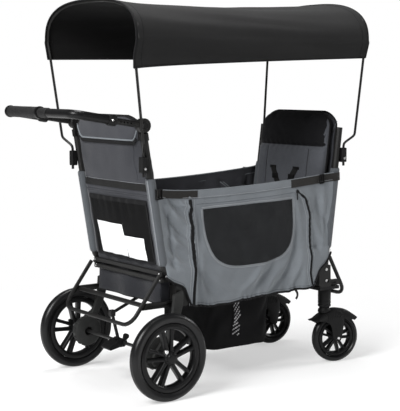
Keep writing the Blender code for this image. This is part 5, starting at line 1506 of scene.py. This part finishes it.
def wheels():
    for word, sign in SIDES:
        rear = Matrix.Translation(P(sign * REAR_X, 0, REAR_R))
        front = caster_matrix(word) @ Matrix.Translation((0, TRAIL, FRONT_R))
        wheel = f"rear_wheel_{word}"
        tyre(f"rear_tyre_{word}", f"{wheel}_tyre", wheel, rear, REAR_R, 0.114, TYRE_W / 2)
        rim(f"rear_rim_{word}", f"{wheel}_rim", wheel, rear, REAR_RIM, sign)
        profile = [(0, 0.0045), (0.0060, 0.0040), (0.0076, 0.0020), (0.0080, -0.004), (0, -0.004)]
        release = half_turn(lathe(profile, 24, "X"), sign)
        spot = P(sign * (REAR_X + 0.0150), -0.0185, REAR_R + 0.0225)
        piece(f"rear_release_{word}", place(release, spot), "silver", wheel)
        wheel = f"front_wheel_{word}"
        tyre(f"front_tyre_{word}", f"{wheel}_tyre", wheel, front, FRONT_R, 0.0716, FRONT_TYRE_W / 2)
        rim(f"front_rim_{word}", f"{wheel}_rim", wheel, front, FRONT_RIM, sign)


# Casters: fender, fork arms and the shroud round the stem

FENDER_R = 0.1045
FORK_HALF_X = 0.0262
# Rear and front edge of a fork arm in the wheel's plane, from the axle to the tip, as (y, z) from the axle
ARM_EDGES = (
    ((-0.012, -0.010), (0.012, -0.010)), ((-0.019, 0.004), (0.017, 0.004)), ((-0.023, 0.026), (0.021, 0.026)),
    ((-0.028, 0.045), (0.025, 0.050)), ((-0.038, 0.056), (0.023, 0.080)), ((-0.050, 0.062), (0.004, 0.103)),
    ((-0.062, 0.065), (-0.034, 0.099)), ((-0.074, 0.066), (-0.060, 0.087)), ((-0.083, 0.067), (-0.080, 0.073)),
)


def even_steps(table, count):
    """Points on a smooth curve through the table's points."""
    last = len(table) - 1
    result = []
    for k in range(count + 1):
        t = last * k / count
        i = min(last - 1, int(t))
        f = t - i
        p0, p1 = Vector(table[max(0, i - 1)]), Vector(table[i])
        p2, p3 = Vector(table[i + 1]), Vector(table[min(last, i + 2)])
        result.append(0.5 * ((2 * p1) + (p2 - p0) * f + (2 * p0 - 5 * p1 + 4 * p2 - p3) * f * f
                             + (3 * p1 - p0 - 3 * p2 + p3) * f ** 3))
    return result


def fork_arm(side):
    left = even_steps([edge[0] for edge in ARM_EDGES], 32)
    right = even_steps([edge[1] for edge in ARM_EDGES], 32)
    rings = []
    for i, (a, b) in enumerate(zip(left, right)):
        middle, half = (a + b) / 2, (b - a) / 2
        thick = 0.0032 if i < 28 else 0.0032 - 0.0004 * (i - 28)
        ring = []
        for u, v in round_square(28, 0.6, 0.7):
            dome = 0.0022 * (1 - u * u)
            at = middle + half * u
            ring.append(Vector((side * (FORK_HALF_X + dome + v * thick), at.x, at.y)))
        rings.append(ring)
    return from_grid(rings, closed=True, capped=True)


def fender_mesh():
    rings = []
    for i in range(49):
        a = radians(146 - 106 * i / 48)
        flare = 0.004 * max(0.0, (i - 40) / 8) ** 2 + 0.016 * max(0.0, (8 - i) / 8) ** 2
        deep = 0.010 + 0.019 * smooth_step(14, 34, i) - 0.015 * smooth_step(39, 48, i)
        half = FORK_HALF_X - 0.004 * max(0.0, (i - 38) / 10)
        outer = [(half, -deep), (half * 0.98, -0.002), (half * 0.80, 0.0022), (0.0, 0.0046)]
        inner = [(half - 0.0024, -deep), (half * 0.90, -0.0040), (half * 0.72, -0.0010), (0.0, 0.0014)]
        section = [(-x, r) for x, r in outer] + outer[2::-1] + inner + [(-x, r) for x, r in inner[2::-1]]
        base = FENDER_R + flare
        rings.append([Vector((x, (base + r) * cos(a), (base + r) * sin(a))) for x, r in section])
    return from_grid(rings, closed=True, capped=True)


def casters():
    for word, sign in SIDES:
        matrix = caster_matrix(word)
        hub = matrix @ Matrix.Translation((0, TRAIL, FRONT_R))
        meshes = [fender_mesh(), fork_arm(1), fork_arm(-1)]
        for k in range(6):
            a = radians(118 - 7.5 * k)
            rib = block((0.0016, 0.0030, 0.030), 0.0007)
            turn = Matrix.Rotation(a - pi / 2 - 0.5, 4, "X")
            spot = Matrix.Translation((0.0318, 0.088 * cos(a), 0.088 * sin(a)))
            moved(rib, spot @ turn)
            meshes.append(rib)
        bm = merged(*meshes)
        moved(bm, hub)
        crown = lathe([(0.0, 0.1860), (0.0215, 0.1860), (0.0245, 0.1900), (0.0230, 0.1985), (0.0195, 0.2035),
                       (0.0185, 0.2070), (0.0, 0.2070)], 36, "Z")
        moved(crown, matrix)
        profile = [(0.0, 0.205), (0.0054, 0.205), (0.0054, 0.2565), (0.0040, 0.2580), (0.0, 0.2580)]
        stem = moved(lathe(profile, 24, "Z"), matrix)
        axle = lathe([(0.0, -0.0330), (0.0048, -0.0325), (0.0048, 0.0325), (0.0, 0.0330)], 20, "X")
        moved(axle, hub)
        obj = piece(f"caster_fender_{word}", merged(bm, crown, stem, axle), "plastic", f"caster_{word}",
                    smooth=50)
        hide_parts(f"caster_fork_{word}")
        bolt = lathe([(0, 0.0030), (0.0040, 0.0028), (0.0056, 0.0010), (0.0058, -0.002), (0, -0.002)], 20, "X")
        half_turn(bolt, sign)
        moved(bolt, hub @ Matrix.Translation((sign * 0.0330, 0, 0)))
        piece(f"caster_bolt_{word}", bolt, "silver", f"caster_{word}")
        profile = [(0.0228, 0.2095), (0.0240, 0.2115), (0.0240, 0.2170), (0.0226, 0.2185), (0.0226, 0.2200),
                   (0.0240, 0.2215), (0.0240, 0.2300), (0.0232, 0.2320), (0.0238, 0.2340), (0.0240, 0.2640),
                   (0.0225, 0.2760), (0.0190, 0.2850), (0.0150, 0.2880), (0.0150, 0.2095)]
        shroud = lathe(profile, 40, "Z", closed=True)
        piece(f"caster_shroud_{word}", place(shroud, P(sign * STEM_X, STEM_Y, 0)), "plastic", "front_end",
              smooth=50)


# Rear legs with their ribbed brake drums

LEG_X = 0.2412
# The leg's middle line from its top, as (y, z, half depth)
LEG_LINE = (
    (0.0780, 0.3400, 0.0185), (0.0775, 0.3160, 0.0200), (0.0740, 0.2850, 0.0195), (0.0620, 0.2450, 0.0185),
    (0.0420, 0.2050, 0.0200), (0.0200, 0.1740, 0.0245), (0.0060, 0.1520, 0.0280), (0.0000, 0.1300, 0.0260),
    (-0.0010, 0.1120, 0.0170),
)


def rear_legs():
    for word, sign in SIDES:
        rings = []
        for at in even_steps(LEG_LINE, 40):
            rings.append([P(sign * (LEG_X + 0.0078 * v), at.x + at.z * u, at.y + 0.35 * at.z * u)
                          for u, v in round_square(24, 0.4)])
        leg = from_grid(rings, closed=True, capped=True)
        drum = lathe([(0.0500, 0.2360), (0.0520, 0.2340), (0.0520, 0.2140), (0.0480, 0.2110), (0.0300, 0.2095),
                      (0.0160, 0.2095), (0.0160, 0.2360)], 60, "X", closed=True)
        ribs = []
        for k in range(20):
            rib = block((0.0200, 0.0030, 0.0052), 0.0010, 2)
            turn = Matrix.Rotation(2 * pi * k / 20, 4, "X")
            moved(rib, turn @ Matrix.Translation((0.2240, 0, 0.0522)))
            ribs.append(rib)
        side = merged(drum, *ribs)
        half_turn(side, sign)
        # The leg moulding wears the lighter copy of the black plastic, as painted light.
        obj = piece(f"rear_leg_moulding_{word}", merged(leg, place(side, P(0, 0, REAR_R))), "plastic_grey",
                    "rear_end", smooth=50)
        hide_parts(f"rear_leg_{word}")


# Small hardware: rivets, bolts and hub caps, and the push handle

def rivet(name, at, body, radius):
    """A domed head that faces the rear."""
    rise = radius * 0.5
    profile = [(0, -0.001), (radius, -0.001), (radius, rise * 0.35), (radius * 0.8, rise * 0.8),
               (radius * 0.4, rise), (0, rise * 1.03)]
    piece(name, place(half_turn(lathe(profile, 24, "Y"), -1), at), "silver", body)


def bolt_head(name, at, body, sign, radius, height):
    """A low round head with a recess, which faces out of one side."""
    profile = [(0, 0.0006), (radius * 0.45, 0.0006), (radius * 0.5, height * 0.95), (radius * 0.82, height),
               (radius, height * 0.7), (radius, -0.0008), (0, -0.0008)]
    piece(name, place(half_turn(lathe(profile, 24, "X"), sign), at), "silver", body)


def hub_caps():
    for word, sign in SIDES:
        face = (REAR_X + 0.0225) * sign
        profile = [(0, 0.0052), (0.010, 0.0050), (0.0150, 0.0040), (0.0180, 0.0015), (0.0185, -0.001),
                   (0, -0.001)]
        cap = half_turn(lathe(profile, 40, "X"), sign)
        piece(f"hub_cap_{word}", place(cap, P(face, 0, REAR_R)), "plastic_gloss", f"rear_wheel_{word}")


def handle_matrix():
    return Matrix.Translation(P(*HANDLE_PIVOT)) @ Matrix.Rotation(radians(-HANDLE_TILT), 4, "X")


def bar_path(reach, bend, steps=10):
    """The handle's loop in its own frame, from the right end round to the left end, with bent corners."""
    path = [(ARM_X, -BAR_START), (ARM_X, -reach + bend + 0.001)]
    for (_, side), first in zip(SIDES, (0.0, 90.0)):
        for turn in spread(first, first + 90.0, steps):
            a = radians(turn)
            path.append((side * (ARM_X - bend) + bend * cos(a), -reach + bend - bend * sin(a)))
    return path + [(-ARM_X, -reach + bend + 0.001), (-ARM_X, -BAR_START)]


SEAM_TURN = 1.2


def push_handle():
    """Handle loop with collars, and a grip with a grained half, a plain half and rings."""
    frame_matrix = handle_matrix()
    reach, bend = BAR_REACH + 0.006, 0.034
    loop = [frame_matrix @ Vector((x, y, 0)) for x, y in bar_path(reach, bend)]
    obj = piece("push_bar_loop", rod(loop, BAR_R, 24), "plastic_gloss", "push_bar", smooth=60)
    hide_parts("push_bar")
    for word, sign in SIDES:
        profile = [(BAR_R - 0.0005, -0.016), (0.0168, -0.015), (0.0180, -0.011), (0.0180, 0.008),
                   (0.0172, 0.0125), (0.0120, 0.0140), (0.0112, 0.0140), (0.0112, -0.016)]
        collar = lathe(profile, 36, "Y", closed=True)
        spot = Matrix.Translation((sign * ARM_X, -BAR_START - 0.012, 0))
        moved(collar, frame_matrix @ spot)
        piece(f"push_bar_collar_{word}", collar, "plastic", "push_bar")
    spans = (("left", -0.205, -0.006, "leather", 0.0187), ("right", 0.004, 0.060, "leather_plain", 0.0166))
    for word, x0, x1, mat, radius in spans:
        rows = []
        for x in spread(x0, x1, 70):
            ends = min(1.0, (x - x0) / 0.010, (x1 - x) / 0.004)
            r = radius - 0.0022 + 0.0022 * sqrt(max(0.0, ends))
            ring = []
            for k in range(40):
                a = 2 * pi * k / 40
                here = r + 0.00025 * bumpy(x * 60, a * 2, 1.0) - 0.0008 * hump((a - SEAM_TURN) / 0.06)
                ring.append(frame_matrix @ Vector((x, -reach + here * cos(a), here * sin(a))))
            rows.append(ring)
        wrap = piece(f"grip_wrap_{word}", from_grid(rows, closed=True), mat, "push_bar", smooth=60)
        thicken(wrap, 0.0008, offset=-1.0)
        if word == "left":
            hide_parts("push_bar_grip")
        out = radius + 0.0006
        stitches = [frame_matrix @ Vector((x, -reach + out * cos(SEAM_TURN), out * sin(SEAM_TURN)))
                    for x in spread(x0 + 0.006, x1 - 0.006, 30)]
        piece(f"grip_seam_{word}", rod(stitches, 0.0005, 5), "stitch", "push_bar")
    for word, x, radius in (("middle", 0.0, 0.0205), ("end", -0.2080, 0.0202)):
        ring = lathe([(radius - 0.0020, -0.0056), (radius, -0.0044), (radius + 0.0003, 0.0), (radius, 0.0044),
                      (radius - 0.0020, 0.0056), (0.0150, 0.0056), (0.0150, -0.0056)], 48, "X", closed=True)
        moved(ring, frame_matrix @ Matrix.Translation((x, -reach, 0)))
        piece(f"grip_ring_{word}", ring, "plastic_gloss", "push_bar")


CLIP_Z = 0.758
CLIP_FACE_X = 0.2372
BLOCK_FACE_X = 0.2331


def hardware():
    for word, sign in SIDES:
        for number, z in enumerate((0.405, 0.383)):
            at = P(sign * 0.206, rear_y(z) - TUBE_R - 0.0005, z)
            rivet(f"rear_bar_rivet_{number}_{word}", at, "rear_end", 0.0030)
        bolts = (
            ("rear_upright", FRAME_X + 0.0125, 0.041, 0.398, 0.0042, 0.0022),
            ("front_pivot", BLOCK_FACE_X, FRONT_PIVOT_Y + 0.006, PIVOT_Z - 0.004, 0.0052, 0.0024),
            ("front_block", BLOCK_FACE_X, FRONT_PIVOT_Y + 0.006, 0.315, 0.0046, 0.0024),
            ("rear_clip", CLIP_FACE_X, rear_y(CLIP_Z) - 0.0245, CLIP_Z, 0.0042, 0.0018),
            ("front_clip", CLIP_FACE_X, front_y(CLIP_Z) + 0.0245, CLIP_Z, 0.0042, 0.0018),
        )
        for name, x, y, z, radius, height in bolts:
            end = name.split("_")[0] + "_end"
            bolt_head(f"{name}_bolt_{word}", P(sign * x, y, z), end, sign, radius, height)


# Stage and lights

FLOOR_LIFT = 0.45
FLOOR_FADE = (0.75, 1.9)
LAMPS = (
    ("key", (1.1, -3.4, 3.0), 2.1, 240), ("side", (3.4, 0.6, 1.6), 1.4, 10),
    ("front", (0.9, 3.6, 2.0), 0.9, 52), ("top", (-0.3, 0.1, 3.6), 1.6, 95),
)
AMBIENT = 0.19


def stage():
    """A white floor that catches shadows, and the lamps."""
    n = Nodes("floor_paper")
    tint = n.noise(3.0, 3.0, 0.5)
    n.ramp(tint, [(0.2, (0.90, 0.90, 0.90)), (0.8, (0.94, 0.94, 0.94))])
    n.set(Roughness=0.92, Specular_IOR_Level=0.1)
    length = n.add("ShaderNodeVectorMath", operation="LENGTH")
    n.link(n.coord.outputs["Object"], length.inputs[0])
    far = n.remap(length.outputs["Value"], *FLOOR_FADE, FLOOR_LIFT, 1.0)
    path = n.add("ShaderNodeLightPath")
    share = n.math("MULTIPLY", far, path.outputs["Is Camera Ray"])
    glow = n.add("ShaderNodeEmission")
    mix = n.add("ShaderNodeMixShader")
    n.link(share, mix.inputs["Fac"])
    n.link(n.shader.outputs[0], mix.inputs[1])
    n.link(glow.outputs[0], mix.inputs[2])
    n.link(mix.outputs[0], n.tree.nodes["Material Output"].inputs["Surface"])
    rings = []
    for r in (0.01, 0.5, 1.0, 2.0, 4.0, 9.0):
        rings.append([Vector((r * cos(2 * pi * k / 64), r * sin(2 * pi * k / 64), 0)) for k in range(64)])
    bm = from_grid(rings, closed=True)
    bmesh.ops.holes_fill(bm, edges=[e for e in bm.edges if e.is_boundary and e.verts[0].co.length < 0.1])
    mesh = bpy.data.meshes.new("floor")
    bm.to_mesh(mesh)
    bm.free()
    mesh.materials.append(n.mat)
    linked("floor", mesh)
    for name, spot, size, power in LAMPS:
        lamp = bpy.data.lights.new(name, "AREA")
        lamp.shape = "DISK"
        lamp.size = size
        lamp.energy = power
        holder = linked(name, lamp)
        holder.location = spot
        aim = Vector((0, 0, 0.6)) - Vector(spot)
        holder.rotation_mode = "QUATERNION"
        holder.rotation_quaternion = aim.to_track_quat("-Z", "Y")
    world()


def world():
    """A dim even sky for the object, which the camera sees as white."""
    scene = bpy.context.scene
    sky = bpy.data.worlds.new("studio")
    scene.world = sky
    sky.use_nodes = True
    tree = sky.node_tree
    tree.nodes.clear()
    add, link = tree.nodes.new, tree.links.new
    path, mix = add("ShaderNodeLightPath"), add("ShaderNodeMixShader")
    seen = add("ShaderNodeMath")
    seen.operation = "ADD"
    seen.use_clamp = True
    link(path.outputs["Is Camera Ray"], seen.inputs[0])
    link(path.outputs["Is Transmission Ray"], seen.inputs[1])
    link(seen.outputs[0], mix.inputs["Fac"])
    for number, strength in ((1, AMBIENT), (2, 1.0)):
        light = add("ShaderNodeBackground")
        light.inputs["Color"].default_value = (1, 1, 1, 1)
        light.inputs["Strength"].default_value = strength
        link(light.outputs[0], mix.inputs[number])
    link(mix.outputs[0], add("ShaderNodeOutputWorld").inputs["Surface"])
    scene.view_settings.view_transform = "Standard"


def finish_cad_nodes():
    for name, node in frame["nodes"].items():
        for slot_index, old in enumerate(node.data.materials):
            key = old.name.split(".")[0]
            if name == "rear_axle":
                node.data.materials[slot_index] = MATS["steel_dark"]
            elif key in SLOT_MATS:
                node.data.materials[slot_index] = MATS[SLOT_MATS[key][0]]
        if name in ("collar_button_right", "collar_button_left"):
            node.data.materials[0] = MATS["silver"]


def main():
    camera()
    make_materials()
    finish_cad_nodes()
    canopy()
    grid = wall_grid()
    for word, sign in SIDES:
        side_wall(word, sign, grid)
        wall_webbing(word, sign)
        sleeve("rear", rear_y, word, sign)
        sleeve("front", front_y, word, sign)
    rear_pad = seat_back("rear", rear_y, 1)
    front_pad = seat_back("front", front_y, -1)
    back_cloth("rear", rear_y, 1, 0.0417, 0.300)
    back_cloth("front", front_y, -1, 0.7485, 0.312)
    pocket()
    rear_band()
    harness("rear", rear_y, 1, rear_pad)
    harness("front", front_y, -1, front_pad)
    cushion("rear", REAR_PIVOT_Y, 1, -0.025)
    cushion("front", FRONT_PIVOT_Y, -1, 0.023)
    foot_well()
    hub_caps()
    push_handle()
    wheels()
    casters()
    rear_legs()
    hardware()
    stage()


main()
